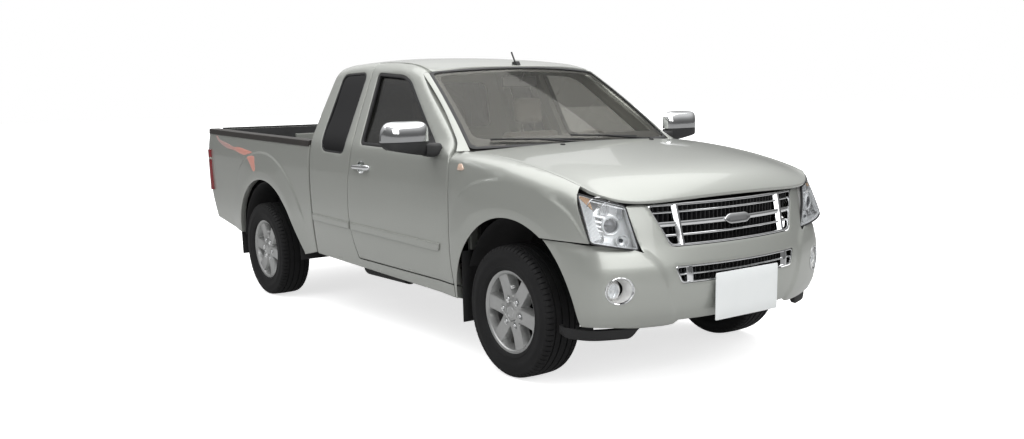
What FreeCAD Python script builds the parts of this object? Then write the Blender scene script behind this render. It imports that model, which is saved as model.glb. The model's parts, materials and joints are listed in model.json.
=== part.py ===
"""Low two-wheel-drive pickup truck with an extended cab, in millimetres.

X points forward, Y to the truck's left and Z up. The origin is on the ground, under the middle of the
truck's length and width. Heights that are marked as level are given at the front axle, and the body rises
from there towards the tail by its rake.
"""

import math
import os

import FreeCAD
import Part

Vector = FreeCAD.Vector

# Driving dimensions of the whole truck
overall_length = 4890.0
front_overhang = 830.0
wheelbase = 3050.0
track = 1460.0
body_half_width = 850.0
body_rake = 0.03

# Wheels and tyres
tyre_radius = 338.0
tyre_width = 215.0
tyre_corner = 38.0
rim_radius = 203.0
rim_flange = 15.0
rim_wall = 9.0
rim_width = 178.0
rim_inset = 4.0
hub_radius = 78.0
cap_radius = 34.0
spoke_count = 6
spoke_root = 58.0
spoke_tip = 44.0
spoke_depth = 34.0
stud_circle = 114.3
stud_radius = 8.0
disc_radius = 138.0
disc_thickness = 24.0

# Level heights of the body side
sill_z = 332.0
widest_z = 790.0
belt_z = 1074.0
rail_z = 1050.0
bed_skirt_z = 345.0
sill_tuck = 28.0
belt_tuck = 24.0
tumblehome = 0.43

# Wheel openings
front_arch_radius = 486.0
front_arch_ahead = 34.0
rear_arch_radius = 514.0
rear_arch_ahead = 80.0
arch_flare = 13.0
flare_reach = 190.0

# Cab, measured back from the front axle
door_front_back = 473.0
door_length = 1152.0
cab_rear_back = 2165.0
cab_bed_gap = 20.0
door_thickness = 60.0
slab_drop = 18.0
inner_half = 700.0
fender_skin = 14.0
hood_thickness = 16.0
bumper_thickness = 24.0
plate_thickness = 5.0
plate_half_width = 221.0
plate_foot_z = 339.0
plate_top_z = 568.0
handle_z = 1004.0
shut_gap = 6.0
seat_gap = 0.4
cab_floor_z = 420.0
floor_thickness = 28.0
roof_thickness = 24.0
glass_thickness = 5.0

# Bed
bed_wall = 24.0
bed_floor_level = 520.0
rail_height = 30.0
rail_width = 74.0
tailgate_thickness = 45.0
tailgate_half_width = 700.0
tailgate_foot_z = 640.0
post_y = 706.0

# Frame and running gear
frame_rail_y = 375.0
frame_rail_width = 60.0
frame_rail_height = 110.0
kingpin_y = 640.0
spring_y = 520.0
axle_tube_radius = 40.0
engine_z = 531.0
firewall_ahead = 34.0
back_wall = 40.0
tow_bolt_y = 200.0
tow_bolt_z = 36.0
tow_bolt_middle_z = 485.0
tow_bolt_radius = 6.5
post_clearance = 16.0
air_dam_inner_y = 470.0
air_dam_height = 50.0
spare_back = 460.0
spare_z = 400.0

front_x = overall_length / 2
rear_x = -overall_length / 2
front_axle_x = front_x - front_overhang
rear_axle_x = front_axle_x - wheelbase
axle_z = tyre_radius
door_front_x = front_axle_x - door_front_back
door_rear_x = door_front_x - door_length
cab_rear_x = front_axle_x - cab_rear_back
bed_front_x = cab_rear_x - cab_bed_gap
tailgate_x = rear_x
bed_rear_x = tailgate_x + tailgate_thickness + 10
front_arch_x = front_axle_x + front_arch_ahead
rear_arch_x = rear_axle_x + rear_arch_ahead
spare_x = rear_axle_x - spare_back
LEFT = 1
RIGHT = -1


def ahead(distance):
    """Station at a distance ahead of the front axle, or behind it where negative."""
    return front_axle_x + distance


def lift(x):
    """How far the raked body has risen at a station."""
    return body_rake * (front_axle_x - x)


def smooth(t):
    """Eases from 0 to 1 as t goes from 0 to 1."""
    t = max(0.0, min(1.0, t))
    return t * t * (3 - 2 * t)


def flare(x, z):
    """Outward swell of the body side round a wheel opening."""
    swell = 0.0
    for arch_x, radius in ((front_arch_x, front_arch_radius), (rear_arch_x, rear_arch_radius)):
        away = math.hypot(x - arch_x, z - axle_z) - radius
        swell = max(swell, arch_flare * (1 - smooth(away / flare_reach)))
    return swell


def side_y(x, z):
    """Half width of the body at a station and height: barrelled below the belt, leaning in above it."""
    level = z - lift(x)
    if level < widest_z:
        y = body_half_width - sill_tuck * ((widest_z - level) / (widest_z - sill_z)) ** 2
    elif level < belt_z:
        y = body_half_width - belt_tuck * ((level - widest_z) / (belt_z - widest_z)) ** 2
    else:
        y = body_half_width - belt_tuck - tumblehome * (level - belt_z)
    above = min(1.0, max(0.0, (level - belt_z) / 90))
    pillar = max(0.0, (x - ahead(-1150)) / 550)
    nose = max(0.0, (x - ahead(-100)) / 650)
    tail = max(0.0, (rear_axle_x - x) / 1000)
    y -= 24 * above * pillar**2 + 34 * nose**2 + 14 * tail**2
    return y + flare(x, z) - roll_in(x, z)


def roll_depth(x):
    """Height of the band that rolls in towards the roof edge; it narrows down the front pillar."""
    return max(8.0, min(cant_depth, 0.6 * (cant_z(x) - belt_z - lift(x))))


def roll_in(x, z):
    """Inward roll of the side near the roof edge."""
    depth = roll_depth(x)
    u = max(0.0, min(1.0, 1 + (z - cant_z(x)) / depth))
    return cant_roll * depth / cant_depth * (1 - math.sqrt(1 - u * u))


def cant_z(x):
    """Height of the side's upper edge: up the front pillar, then back along the roof."""
    if x > windshield_head.x:
        return windshield_foot.z + (windshield_foot.x - x) / pillar_slope + 6
    return along(cant_line, x)


def save(name, *solids):
    shape = solids[0] if len(solids) == 1 else Part.makeCompound(list(solids))
    shape.exportStep("parts/" + name + ".step")


def mirrored(shape):
    return shape.mirror(Vector(0, 0, 0), Vector(0, 1, 0))


def on_side(shape, side):
    """A shape drawn on the left, or its mirror image for the right."""
    return shape if side == LEFT else mirrored(shape)


def box(x0, x1, y0, y1, z0, z1):
    return Part.makeBox(x1 - x0, y1 - y0, z1 - z0, Vector(x0, y0, z0))


def rod(start, end, radius):
    start, end = Vector(*start), Vector(*end)
    return Part.makeCylinder(radius, (end - start).Length, start, end - start)


def across(radius, x, z, y0, y1):
    """Cylinder along Y."""
    return Part.makeCylinder(radius, y1 - y0, Vector(x, y0, z), Vector(0, 1, 0))


def outline(runs, place):
    """Closed wire from runs of flat points: two points make a line, more make a smooth curve."""
    edges = []
    for run in runs:
        points = [place(a, b) for a, b in run]
        if len(points) == 2:
            edges.append(Part.makeLine(points[0], points[1]))
        else:
            curve = Part.BSplineCurve()
            curve.interpolate(points)
            edges.append(curve.toShape())
    return Part.Wire(edges)


def closed(points):
    """The straight runs of a closed polygon."""
    return [[points[i], points[(i + 1) % len(points)]] for i in range(len(points))]


def rounded(points, radius):
    """The runs of a closed polygon whose corners are rounded by short curves."""
    runs = []
    count = len(points)
    corners = []
    for i in range(count):
        before, here, after = points[i - 1], points[i], points[(i + 1) % count]
        ends = []
        for other in (before, after):
            length = math.hypot(other[0] - here[0], other[1] - here[1])
            share = min(radius, 0.45 * length) / length
            ends.append((here[0] + share * (other[0] - here[0]), here[1] + share * (other[1] - here[1])))
        middle = tuple(0.25 * ends[0][k] + 0.25 * ends[1][k] + 0.5 * here[k] for k in (0, 1))
        corners.append((ends[0], middle, ends[1]))
    for i in range(count):
        runs.append(list(corners[i]))
        runs.append([corners[i][2], corners[(i + 1) % count][0]])
    return runs


def plate_y(runs, y0, y1):
    """Flat outline in X and Z, as thick as from y0 to y1."""
    return Part.Face(outline(runs, lambda a, b: Vector(a, y0, b))).extrude(Vector(0, y1 - y0, 0))


def plate_x(runs, x0, x1):
    """Flat outline in Y and Z, as thick as from x0 to x1."""
    return Part.Face(outline(runs, lambda a, b: Vector(x0, a, b))).extrude(Vector(x1 - x0, 0, 0))


def plate_z(runs, z0, z1):
    """Flat outline in X and Y, as thick as from z0 to z1."""
    return Part.Face(outline(runs, lambda a, b: Vector(a, b, z0))).extrude(Vector(0, 0, z1 - z0))


def panel(rows, inward):
    """Curved sheet through rows of points, thickened inward."""
    surface = Part.BSplineSurface()
    surface.interpolate(rows)
    return surface.toShape().extrude(Vector(*inward))


def spread(start, end, count):
    return [start + (end - start) * i / (count - 1) for i in range(count)]


def along(points, x):
    """Height of a hand-drawn line at x, by straight runs between its points."""
    for (x0, z0), (x1, z1) in zip(points, points[1:]):
        if x <= x1 or (x1, z1) == points[-1]:
            return z0 + (z1 - z0) * (x - x0) / (x1 - x0)
    return points[-1][1]


# Lines of the hood, windshield and roof edge
hood_side_y = 752.0
hood_rear_x = ahead(-235)
cowl_bow = 140.0
nose_top_z = 908.0
bumper_joint_z = 738.0
lamp_outer_top = (ahead(501), 984)
lamp_outer_bottom = (ahead(628), 742)

windshield_foot = Vector(ahead(-451), 725, 1128)
windshield_head = Vector(ahead(-1035), 601, 1546)
windshield_bow = (170.0, 84.0)
windshield_crown = (8.0, 26.0)
pillar_slope = (windshield_foot.x - windshield_head.x) / (windshield_head.z - windshield_foot.z)
pillar_width = 34.0
cant_roll = 42.0
cant_depth = 60.0
cant_line = [(ahead(-2070), 1602), (ahead(-1960), 1616), (ahead(-1800), 1622), (ahead(-1527), 1619)]
cant_line += [(ahead(-1330), 1610), (ahead(-1180), 1592), (ahead(-1080), 1568), (windshield_head.x, 1552)]


front_line = [(0, 421), (-16, 560), (-22, 720), (-22, 900), (-34, 1080)]


def door_outline(gap):
    """The left door seen from the side, grown by a gap and open above to the roof edge."""
    x, b = door_front_x, door_rear_x
    g = gap
    low, over = 1200, 1700
    front = [(x + back + g, z - (g if z < 500 else 0)) for back, z in front_line]
    pillar = windshield_head.x - pillar_width + g
    front.append((pillar + (windshield_head.z - low) * pillar_slope, low))
    rear = [(b - g, over), (b - g, 1500), (b + 8 - g, 1320), (b + 26 - g, 1095), (b - 8 - g, 880)]
    rear += [(b - 18 - g, 700), (b + 4 - g, 560), (b + 60 - g, 441 - g)]
    top = (pillar - (over - windshield_head.z) * pillar_slope, over)
    return [front, [front[-1], top], [top, rear[0]], rear, [rear[-1], front[0]]]


def door_window_points():
    x, b = door_front_x, door_rear_x
    return [(x - 150, 1106), (x - 660, 1500), (x - 760, 1536), (b + 72, 1560), (b + 120, 1134)]


def quarter_window_points():
    b = door_rear_x
    return [(b - 66, 1072), (b - 62, 1566), (b - 372, 1562), (b - 400, 1180), (b - 372, 1084)]


def cab_side_slab():
    """The left side wall of the cab from sill to roof edge, before its openings are cut."""
    stations = spread(cab_rear_x - 5, door_front_x + 10, 11)
    rows = []
    for x in stations:
        belt, top = belt_z + lift(x), cant_z(x)
        depth = roll_depth(x)
        heights = spread(330, belt, 6) + spread(belt, top - depth, 4)[1:]
        heights += [top - share * depth for share in (0.55, 0.2, 0.0)]
        rows.append([Vector(x, side_y(x, z), z) for z in heights])
    slab = panel(rows, (0, -door_thickness, -slab_drop))
    return slab.cut(roof_room())


def roof_room():
    """Space that the roof's edge takes, with its clearance, from the side walls."""
    rows = []
    for x in spread(cab_rear_x - 40, windshield_head.x + 80, 14):
        near = min(x, windshield_head.x)
        z = cant_z(near) - roof_thickness - shut_gap
        y = side_y(near, cant_z(near))
        rows.append([Vector(x, y - 300 * share, z) for share in (1, 0.5, 0)])
    return panel(rows, (0, 0, 160))


def make_doors(slab):
    """Door with its window cut, and the glass in it."""
    door = slab.common(plate_y(door_outline(0), 400, 900))
    hole = plate_y(rounded(door_window_points(), 40), 400, 900)
    inner = slab.translated(Vector(0, -24, 0))
    pane = inner.common(plate_y(rounded(door_window_points(), 40), 400, 900))
    pane = pane.cut(inner.translated(Vector(0, -glass_thickness, 0)))
    door = door.cut(hole)
    return door, pane


def cab_side_outline():
    """Quarter panel, pillars and sill as one side stamping."""
    x, r = door_front_x, cab_rear_x
    back = [(r + 95, 1640), (r + 60, 1500), (r + 14, 1250), (r, 1120)]
    sill = [(r, 404), (x, 347), (x, 1640), back[0]]
    return [back, [back[-1], sill[0]]] + [[a, b] for a, b in zip(sill, sill[1:])]


def make_cab_side(slab):
    """Side stamping with the door opening and quarter window cut, and the hinge post behind the fender."""
    side = slab.common(plate_y(cab_side_outline(), 400, 900))
    side = side.cut(plate_y(door_outline(shut_gap), 400, 900))
    hole = plate_y(rounded(quarter_window_points(), 60), 400, 900)
    side = side.cut(hole)
    inner = slab.translated(Vector(0, -8, 0))
    pane = inner.common(plate_y(rounded(quarter_window_points(), 60), 400, 900))
    pane = pane.cut(inner.translated(Vector(0, -glass_thickness, 0)))
    solids = sorted(side.Solids, key=lambda s: -s.Volume)
    return solids, pane


def hood_edge_z(x):
    """Height of the hood's side edge."""
    s = max(0.0, (x - hood_point(0, 1).x) / (hood_point(1, 1).x - hood_point(0, 1).x))
    return 1122 - 148 * hood_side_drop(s)


def hood_side_drop(s):
    return 0.6 * s**1.2 + 0.4 * s**3


def make_fender(side):
    """Front fender: flared side, rolled over to the hood line, with the wheel opening cut."""
    rows = []
    for x in spread(door_front_x + shut_gap - 60, ahead(680), 22):
        top = hood_edge_z(x)
        edge_y = hood_side_y + shut_gap + 4 - 30 * max(0, (x - ahead(476)) / 200)
        low = top - 86
        column = [Vector(x, side_y(x, z), z) for z in spread(325, low, 13)]
        corner_y = side_y(x, low) - 6
        for t in (0.3, 0.55, 0.8, 1.0):
            y = (1 - t) ** 2 * side_y(x, low) + 2 * t * (1 - t) * corner_y + t * t * edge_y
            z = (1 - t) ** 2 * low + 2 * t * (1 - t) * (top - 18) + t * t * top
            column.append(Vector(x, y, z))
        rows.append(column)
    sheet = panel(rows, (0, -fender_skin, -fender_skin))
    x = door_front_x + shut_gap
    rear = [(x + back, z) for back, z in front_line]
    corners = [rear[-1], (x - 60, 1200), (ahead(480), 1200), lamp_outer_top]
    corners += [(lamp_outer_bottom[0], bumper_joint_z + shut_gap), (ahead(300), bumper_joint_z + shut_gap)]
    corners += [(ahead(200), 340), (x, 340), rear[0]]
    rim = [rear] + [[a, b] for a, b in zip(corners, corners[1:])]
    fender = sheet.common(plate_y(rim, 600, 900))
    fender = fender.cut(across(front_arch_radius, front_arch_x, axle_z - 6, 500, 900))
    fender = fender.cut(box(ahead(-600), ahead(530), 600, hood_side_y + shut_gap, 800, 1200))
    fender = fender.cut(lamp_sheet(shut_gap, (-150, -70, 0), 20))
    fender = max(fender.Solids, key=lambda part: part.Volume)
    return on_side(fender, side)


def make_bed_side(side):
    """Bed side panel with its flared wheel opening."""
    stations = spread(rear_x + 8, bed_front_x, 15)
    rows = []
    for x in stations:
        top = rail_z + lift(x)
        rows.append([Vector(x, side_y(x, z), z) for z in spread(330, top, 13)])
    sheet = panel(rows, (0, -door_thickness, 0))
    tail = rear_x + 8
    rim = [
        [(bed_front_x, bed_skirt_z + lift(bed_front_x)), (bed_front_x, 1200)],
        [(bed_front_x, 1200), (tail + 20, 1230)],
        [(tail + 20, 1230), (tail, 1000), (tail + 14, 700), (tail + 60, 505)],
        [(tail + 60, 505), (rear_axle_x - 420, 440)],
        [(rear_axle_x - 420, 440), (bed_front_x, bed_skirt_z + lift(bed_front_x))],
    ]
    wall = sheet.common(plate_y(rim, 600, 900))
    wall = wall.cut(across(rear_arch_radius, rear_arch_x, axle_z, 500, 900))
    x = rear_arch_x
    step = [(x + 300, 300), (x + 300, axle_z + 330), (x + 425, 634), (x + 600, 390), (x + 610, 300)]
    wall = wall.cut(plate_y(closed(step), 500, 900))
    post = box(tail, tail + 90, post_y, post_y + 64, 520, 1130)
    wall = wall.fuse(post).cut(lamp_block(seat_gap))
    return on_side(wall, side)


def hood_point(s, t):
    """Point of the hood: s goes from its rear edge to its lip, t from the middle to the side."""
    w = t * t
    y = hood_side_y * t
    rear = hood_rear_x - cowl_bow * w
    lip = ahead(737) - 78 * w - 112 * w**4
    x = rear + (lip - rear) * s
    rear_z = 1152 - 30 * w
    lip_z = 926 - 24 * w + 72 * w**4
    middle_drop = 0.55 * s**1.35 + 0.45 * s**12
    drop = middle_drop + (hood_side_drop(s) - middle_drop) * w**2
    return Vector(x, y, rear_z + (lip_z - rear_z) * drop)


def make_hood():
    rows = []
    for t in spread(-1, 1, 13):
        rows.append([hood_point(s, t) for s in (0, 0.12, 0.28, 0.45, 0.62, 0.78, 0.88, 0.94, 0.975, 1)])
    return panel(rows, (-0.5 * hood_thickness, 0, -hood_thickness))


def windshield_point(s, t, out=0.0):
    """Point of the windshield: s goes up, t across."""
    foot, head = windshield_foot, windshield_head
    y = (foot.y + (head.y - foot.y) * s) * t
    x = foot.x + (head.x - foot.x) * s + (windshield_bow[0] * (1 - s) + windshield_bow[1] * s) * (1 - t * t)
    z = foot.z + (head.z - foot.z) * s + (windshield_crown[0] * (1 - s) + windshield_crown[1] * s) * (1 - t * t)
    swell = 14 * 4 * s * (1 - s) + out
    return Vector(x + 0.58 * swell, y, z + 0.81 * swell)


def make_windshield():
    rows = [[windshield_point(s, t) for s in spread(0, 1, 5)] for t in spread(-1, 1, 9)]
    return panel(rows, (-3, 0, -4))


def roof_middle_z(x):
    """Height of the roof on the centre line."""
    line = [(-2080, 1610), (-2030, 1634), (-1930, 1649), (-1730, 1652), (-1527, 1645), (-1325, 1630)]
    line += [(-1125, 1604), (-951, 1576)]
    return along([(ahead(back), z) for back, z in line], x)


def roof_point(s, t):
    """Point of the roof: s goes from its front edge to its rear edge, t across."""
    front = windshield_point(1, t)
    start = front.x - 3 - seat_gap
    x = start + (cab_rear_x + 88 - start) * s
    edge_x = min(x, windshield_head.x)
    edge_z = cant_z(edge_x)
    edge_y = side_y(edge_x, edge_z) - shut_gap
    rise = max(0.0, roof_middle_z(x) - edge_z)
    return Vector(x, edge_y * t, edge_z + rise * (1 - abs(t) ** 2.4))


def make_roof():
    rows = []
    for t in spread(-1, 1, 11):
        rows.append([roof_point(s, t) for s in (0, 0.08, 0.16, 0.34, 0.52, 0.7, 0.86, 0.95, 1)])
    return panel(rows, (0, 0, -roof_thickness))


def make_pillars():
    """Front pillars, each a tapered post between the windshield's edge and the door frame."""
    solids = []
    for side in (LEFT, RIGHT):
        sections = []
        for s in (0.0, 0.25, 0.5, 0.75, 1.0):
            edge = windshield_point(s, 1.0)
            back_x = edge.x - pillar_width + shut_gap
            outer_y = side_y(back_x, edge.z) - 1
            inner_y = edge.y + seat_gap
            points = [(edge.x + 2, inner_y), (back_x + 6, outer_y), (back_x, outer_y - 4), (back_x, inner_y)]
            sections.append(Part.makePolygon([Vector(a, b, edge.z) for a, b in points + points[:1]]))
        solids.append(on_side(Part.makeLoft(sections, True, True), side))
    return solids


def nose_reach(z):
    """How far the front of the nose stands ahead of the axle at a height."""
    lead = front_overhang - plate_thickness - 3 * seat_gap
    return lead + along([(300, -74), (400, -14), (530, 0), (615, -6), (701, -36), (830, -64), (930, -90)], z)


def nose_flank(z):
    """Half width of the nose at a height."""
    return along([(300, 806), (400, 832), (530, 840), (740, 838), (930, 806)], z)


def nose_x(y, z):
    """Station of the nose's face: a shallow bow with rounded corners."""
    return ahead(nose_reach(z) - 0.00031 * y * y - 156 * (abs(y) / nose_flank(z)) ** 32)


def nose_outline(z, inset=0.0):
    """Front of the bumper in plan at one height, from the left flank round to the right one."""
    flank = nose_flank(z)
    half = [(nose_x(share * flank, z) - inset, (flank - inset) * share) for share in nose_shares]
    half.append((ahead(380), flank - inset))
    return [(x, y) for x, y in reversed(half)] + [(x, -y) for x, y in half[1:]]


def nose_solid(inset, levels, back_x):
    """Closed body between the bumper's face and a plane behind it."""
    wires = []
    for z in levels:
        flat = nose_outline(z, inset)
        curve = Part.BSplineCurve()
        curve.interpolate([Vector(x, y, z) for x, y in flat])
        start, end = flat[0], flat[-1]
        back = [Vector(end[0], end[1], z), Vector(back_x, end[1], z), Vector(back_x, start[1], z)]
        back.append(Vector(start[0], start[1], z))
        lines = [Part.makeLine(back[i], back[i + 1]) for i in range(3)]
        wires.append(Part.Wire([curve.toShape()] + lines))
    return Part.makeLoft(wires, True, False)


nose_shares = (0, 0.24, 0.48, 0.65, 0.8, 0.9, 0.95, 0.98, 0.995)
upper_grille = [(524, nose_top_z + 30), (419, 701), (-419, 701), (-524, nose_top_z + 30)]
lower_grille = [(421, 615), (389, 531), (-389, 531), (-421, 615)]
lamp_cut = [(556, 684), (818, 734), (900, 738), (900, 1000), (612, 1000)]
fog_centre = (689, 522)
fog_radius = 62.0
grille_inset = 8.0
grille_depth = 26.0
post_width = 28.0
bumper_foot_z = 330.0
bumper_back = 310.0


def make_bumper():
    """Bumper cover with the columns beside the grille, its openings cut."""
    levels = [bumper_foot_z, 400, 530, 640, 740, 830, nose_top_z]
    shell = nose_solid(0, levels, ahead(300))
    hollow = nose_solid(bumper_thickness, [bumper_foot_z - 20] + levels[1:-1] + [nose_top_z + 20], ahead(200))
    cover = shell.cut(hollow)
    cover = cover.cut(box(ahead(200), ahead(bumper_back), -900, 900, 200, 1000))
    chin = [(-430, 290), (-380, 358), (380, 358), (430, 290)]
    cover = cover.cut(plate_x(rounded(chin, 30), ahead(400), front_x + 50))
    cover = cover.cut(plate_x(rounded(upper_grille, 20), ahead(400), front_x + 50))
    cover = cover.cut(plate_x(rounded(lower_grille, 20), ahead(400), front_x + 50))
    for side in (LEFT, RIGHT):
        cover = cover.cut(on_side(plate_x(closed(lamp_cut), ahead(300), front_x + 50), side))
        fog = rod((ahead(300), fog_centre[0], fog_centre[1]), (front_x, fog_centre[0], fog_centre[1]), fog_radius)
        cover = cover.cut(on_side(fog, side))
        arch = across(front_arch_radius, front_arch_x, axle_z - 6, 600, 900)
        cover = cover.cut(on_side(arch, side))
        over = box(ahead(200), ahead(700), 600, 900, bumper_joint_z, 1000)
        cover = cover.cut(on_side(over, side))
    return max(cover.Solids, key=lambda s: s.Volume)


def nose_sheet(half, low, high, inset, thick):
    """Sheet that follows the face of the nose, set back from it."""
    rows = []
    for y in spread(-half, half, 11):
        rows.append([Vector(nose_x(y, z) - inset, y, z) for z in spread(low, high, 7)])
    return panel(rows, (-thick, 0, 0))


def width_at(points, z):
    """Half width of a trapezoid at a height."""
    (top_y, top_z), (foot_y, foot_z) = points[0], points[1]
    return foot_y + (top_y - foot_y) * (z - foot_z) / (top_z - foot_z)


def make_grille(points, bars, post, rim):
    """Grille seen from the front: a rim, cross bars and two posts, with the cells between them cut through."""
    (top_y, top_z), (_, foot_z) = points[0], points[1]
    sheet = nose_sheet(top_y + 20, foot_z - 10, top_z + 10, grille_inset, grille_depth)
    whole = sheet.common(plate_x(rounded(points, 20), ahead(400), front_x + 50))
    edges = [foot_z + rim] + [z + d for z, h in bars for d in (-h / 2, h / 2)] + [top_z - rim]
    cells = []
    for low, high in zip(edges[::2], edges[1::2]):
        outer_low, outer_high = width_at(points, low) - rim, width_at(points, high) - rim
        cells.append([(post, low), (post + 8, high), (outer_high, high), (outer_low, low)])
        cells.append([(-a, b) for a, b in cells[-1]])
        near = post - post_width
        cells.append([(-near, low), (-near - 8, high), (near + 8, high), (near, low)])
    for cell in cells:
        whole = whole.cut(plate_x(closed(cell), ahead(400), front_x + 50))
    return whole


def make_grilles():
    top = [(509, nose_top_z - 3), (418.4, 701.4), (-418.4, 701.4), (-509, nose_top_z - 3)]
    low = [(420.4, 614.6), (388.6, 531.4), (-388.6, 531.4), (-420.4, 614.6)]
    upper = make_grille(top, [(752, 12), (804, 22), (857, 12)], 352, 12)
    lower = make_grille(low, [(573, 9)], 330, 9)
    badge = nose_sheet(95, 780, 828, grille_inset - 7, 6.6)
    badge = badge.common(plate_x(rounded([(88, 804), (60, 824), (-60, 824), (-88, 804), (-60, 784), (60, 784)], 14),
                                 ahead(400), front_x + 50))
    return [upper, lower, badge]


def lamp_sheet(grow, inward, forward=0.0):
    """Wrap-round headlamp with a bulged lens, its outline grown and moved forward."""
    outer_top = Vector(ahead(508), 796, 960)
    inner_top = Vector(ahead(640), 622, 894)
    inner_foot = Vector(ahead(680), 566, 694)
    outer_foot = Vector(ahead(620), 812, 746)
    rows = []
    for a in spread(-grow / 240, 1 + grow / 240, 6):
        column = []
        for b in spread(-grow / 215, 1 + grow / 215, 5):
            top = outer_top + (inner_top - outer_top) * a
            foot = outer_foot + (inner_foot - outer_foot) * a
            swell = 26 * 4 * a * (1 - a) + 8 * 4 * b * (1 - b) + forward
            column.append(foot + (top - foot) * b + Vector(0.8, 0.55, 0) * swell)
        rows.append(column)
    return panel(rows, inward)


def make_headlamp(side):
    return on_side(lamp_sheet(0, (-62, -24, 0)), side)


def make_fog_lamps():
    solids = []
    x, (y, z) = ahead(676), fog_centre
    for side in (LEFT, RIGHT):
        cup = rod((x - 60, y, z), (x - 2, y, z), fog_radius - seat_gap)
        cup = cup.cut(rod((x - 40, y, z), (x, y, z), fog_radius - 6))
        lens = rod((x - 40, y + 10, z), (x - 10, y + 10, z), 40)
        solids.append(on_side(cup.fuse(lens), side))
    return solids


def tyre_profile():
    half = tyre_width / 2
    c = tyre_corner
    bead = rim_radius + 6
    return [
        (bead, -half + 26),
        (bead + 40, -half + 4),
        (tyre_radius - 60, -half),
        (tyre_radius - c * 0.55, -half + 8),
        (tyre_radius - 6, -half + c),
        (tyre_radius, -half + c + 44),
    ]


def make_tyre(x, side):
    """Tyre as a turned ring about the wheel's axle."""
    y = side * track / 2
    left = tyre_profile()
    ring = left + [(r, -w) for r, w in reversed(left)]
    runs = [ring[:6], [ring[5], ring[6]], ring[6:], [ring[-1], ring[0]]]
    wire = outline(runs, lambda r, w: Vector(x, y + w, axle_z + r))
    return Part.Face(wire).revolve(Vector(x, y, axle_z), Vector(0, 1, 0), 360)


def make_wheel(x, side):
    """Cast wheel: a turned rim, six spokes and a hub, drawn about the origin and then placed."""
    half = rim_width / 2
    r = rim_radius
    rim = [
        (r + rim_flange, half),
        (r + rim_flange, half - 8),
        (r + 2, half - 14),
        (r - 4, half - 60),
        (r - 4, -half + 14),
        (r + rim_flange, -half + 8),
        (r + rim_flange, -half),
        (r - 8, -half),
        (r - 4 - rim_wall, -half + 20),
        (r - 4 - rim_wall, half - 40),
        (r - 10, half),
    ]
    wire = Part.makePolygon([Vector(0, w, q) for q, w in rim + rim[:1]])
    wheel = Part.Face(wire).revolve(Vector(0, 0, 0), Vector(0, 1, 0), 360)
    face_y = half - rim_inset
    hub = across(hub_radius, 0, 0, face_y - spoke_depth - 8, face_y - 6)
    wheel = wheel.fuse(hub)
    for i in range(spoke_count):
        root, tip = spoke_root / 2, spoke_tip / 2
        end = r - 6
        spoke = Part.makePolygon(
            [Vector(a, face_y, b) for a, b in ((-root, 40), (-tip, end), (tip, end), (root, 40), (-root, 40))]
        )
        arm = Part.Face(spoke).extrude(Vector(0, -spoke_depth, 0))
        arm.rotate(Vector(0, 0, 0), Vector(0, 1, 0), 360 / spoke_count * (i + 0.5))
        wheel = wheel.fuse(arm)
    wheel = wheel.fuse(across(cap_radius, 0, 0, face_y - 8, face_y + 4))
    wheel = wheel.fuse(across(62, 0, 0, -24, face_y - spoke_depth))
    wheel = wheel.fuse(across(disc_radius, 0, 0, -24, -24 + disc_thickness))
    if side == RIGHT:
        wheel = mirrored(wheel)
    return wheel.translated(Vector(x, side * track / 2, axle_z))


def frame_rail():
    """One rail seen from the side: low under the cab, kicked up over both axles."""
    h = frame_rail_height
    top = [
        (front_x - 130, 520),
        (ahead(320), 520),
        (ahead(120), 560),
        (ahead(-260), 560),
        (ahead(-560), 404),
        (rear_axle_x + 720, 404),
        (rear_axle_x + 330, 556),
        (rear_axle_x - 330, 556),
        (rear_axle_x - 560, 540),
        (rear_x + 120, 540),
    ]
    bottom = [(x, z - h) for x, z in reversed(top)]
    y0 = frame_rail_y - frame_rail_width / 2
    return plate_y(closed(top + bottom), y0, y0 + frame_rail_width)


def make_frame():
    """Ladder frame: two rails, their crossmembers and the mounts that carry the cab and the bed."""
    y0 = frame_rail_y - frame_rail_width / 2 + 10
    rail = frame_rail()
    frame = rail.fuse(mirrored(rail))
    members = (
        (ahead(560), 450, 520),
        (ahead(0), 470, engine_z - seat_gap),
        (ahead(-700), 240, 299),
        (rear_axle_x + 800, 250, 305),
        (rear_axle_x + 330, 470, 530),
        (spare_x, spare_z + tyre_width / 2 + 1, 545),
        (rear_x + 160, 450, 520),
    )
    for x, z0, z1 in members:
        frame = frame.fuse(box(x - 40, x + 40, -y0, y0, z0, z1))
    floor_under = cab_floor_z - seat_gap
    bed_under = bed_floor_level + lift(bed_front_x) - seat_gap
    mounts = [(ahead(-620), 400, floor_under), (ahead(-1300), 400, floor_under), (ahead(-2080), 400, floor_under)]
    mounts += [(rear_axle_x + 260, 550, bed_under), (rear_axle_x - 260, 550, bed_under)]
    mounts += [(rear_x + 200, 536, bed_under)]
    for x, z0, z1 in mounts:
        puck = Part.makeCylinder(34, z1 - z0, Vector(x, frame_rail_y, z0))
        frame = frame.fuse([puck, mirrored(puck)])
    for y in (-tow_bolt_y / 2, tow_bolt_y / 2):
        for z in (tow_bolt_middle_z - tow_bolt_z / 2, tow_bolt_middle_z + tow_bolt_z / 2):
            x = rear_x + 160
            frame = frame.cut(Part.makeCylinder(tow_bolt_radius, 100, Vector(x - 50, y, z), Vector(1, 0, 0)))
    return frame


def make_floor():
    """Cab floor with its toe board and firewall, folded from one sheet."""
    f, t = cab_floor_z, floor_thickness
    wall_x = door_front_x + firewall_ahead
    half = inner_half
    top = [(wall_x + t, 1090), (wall_x, 1090), (wall_x, f + 180), (wall_x - 110, f + t)]
    rear = cab_rear_x + 4 + back_wall + seat_gap
    top += [(rear, f + t), (rear, f), (wall_x - 100, f), (wall_x + t, f + 165)]
    return plate_y(closed(top), -half, half)


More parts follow.
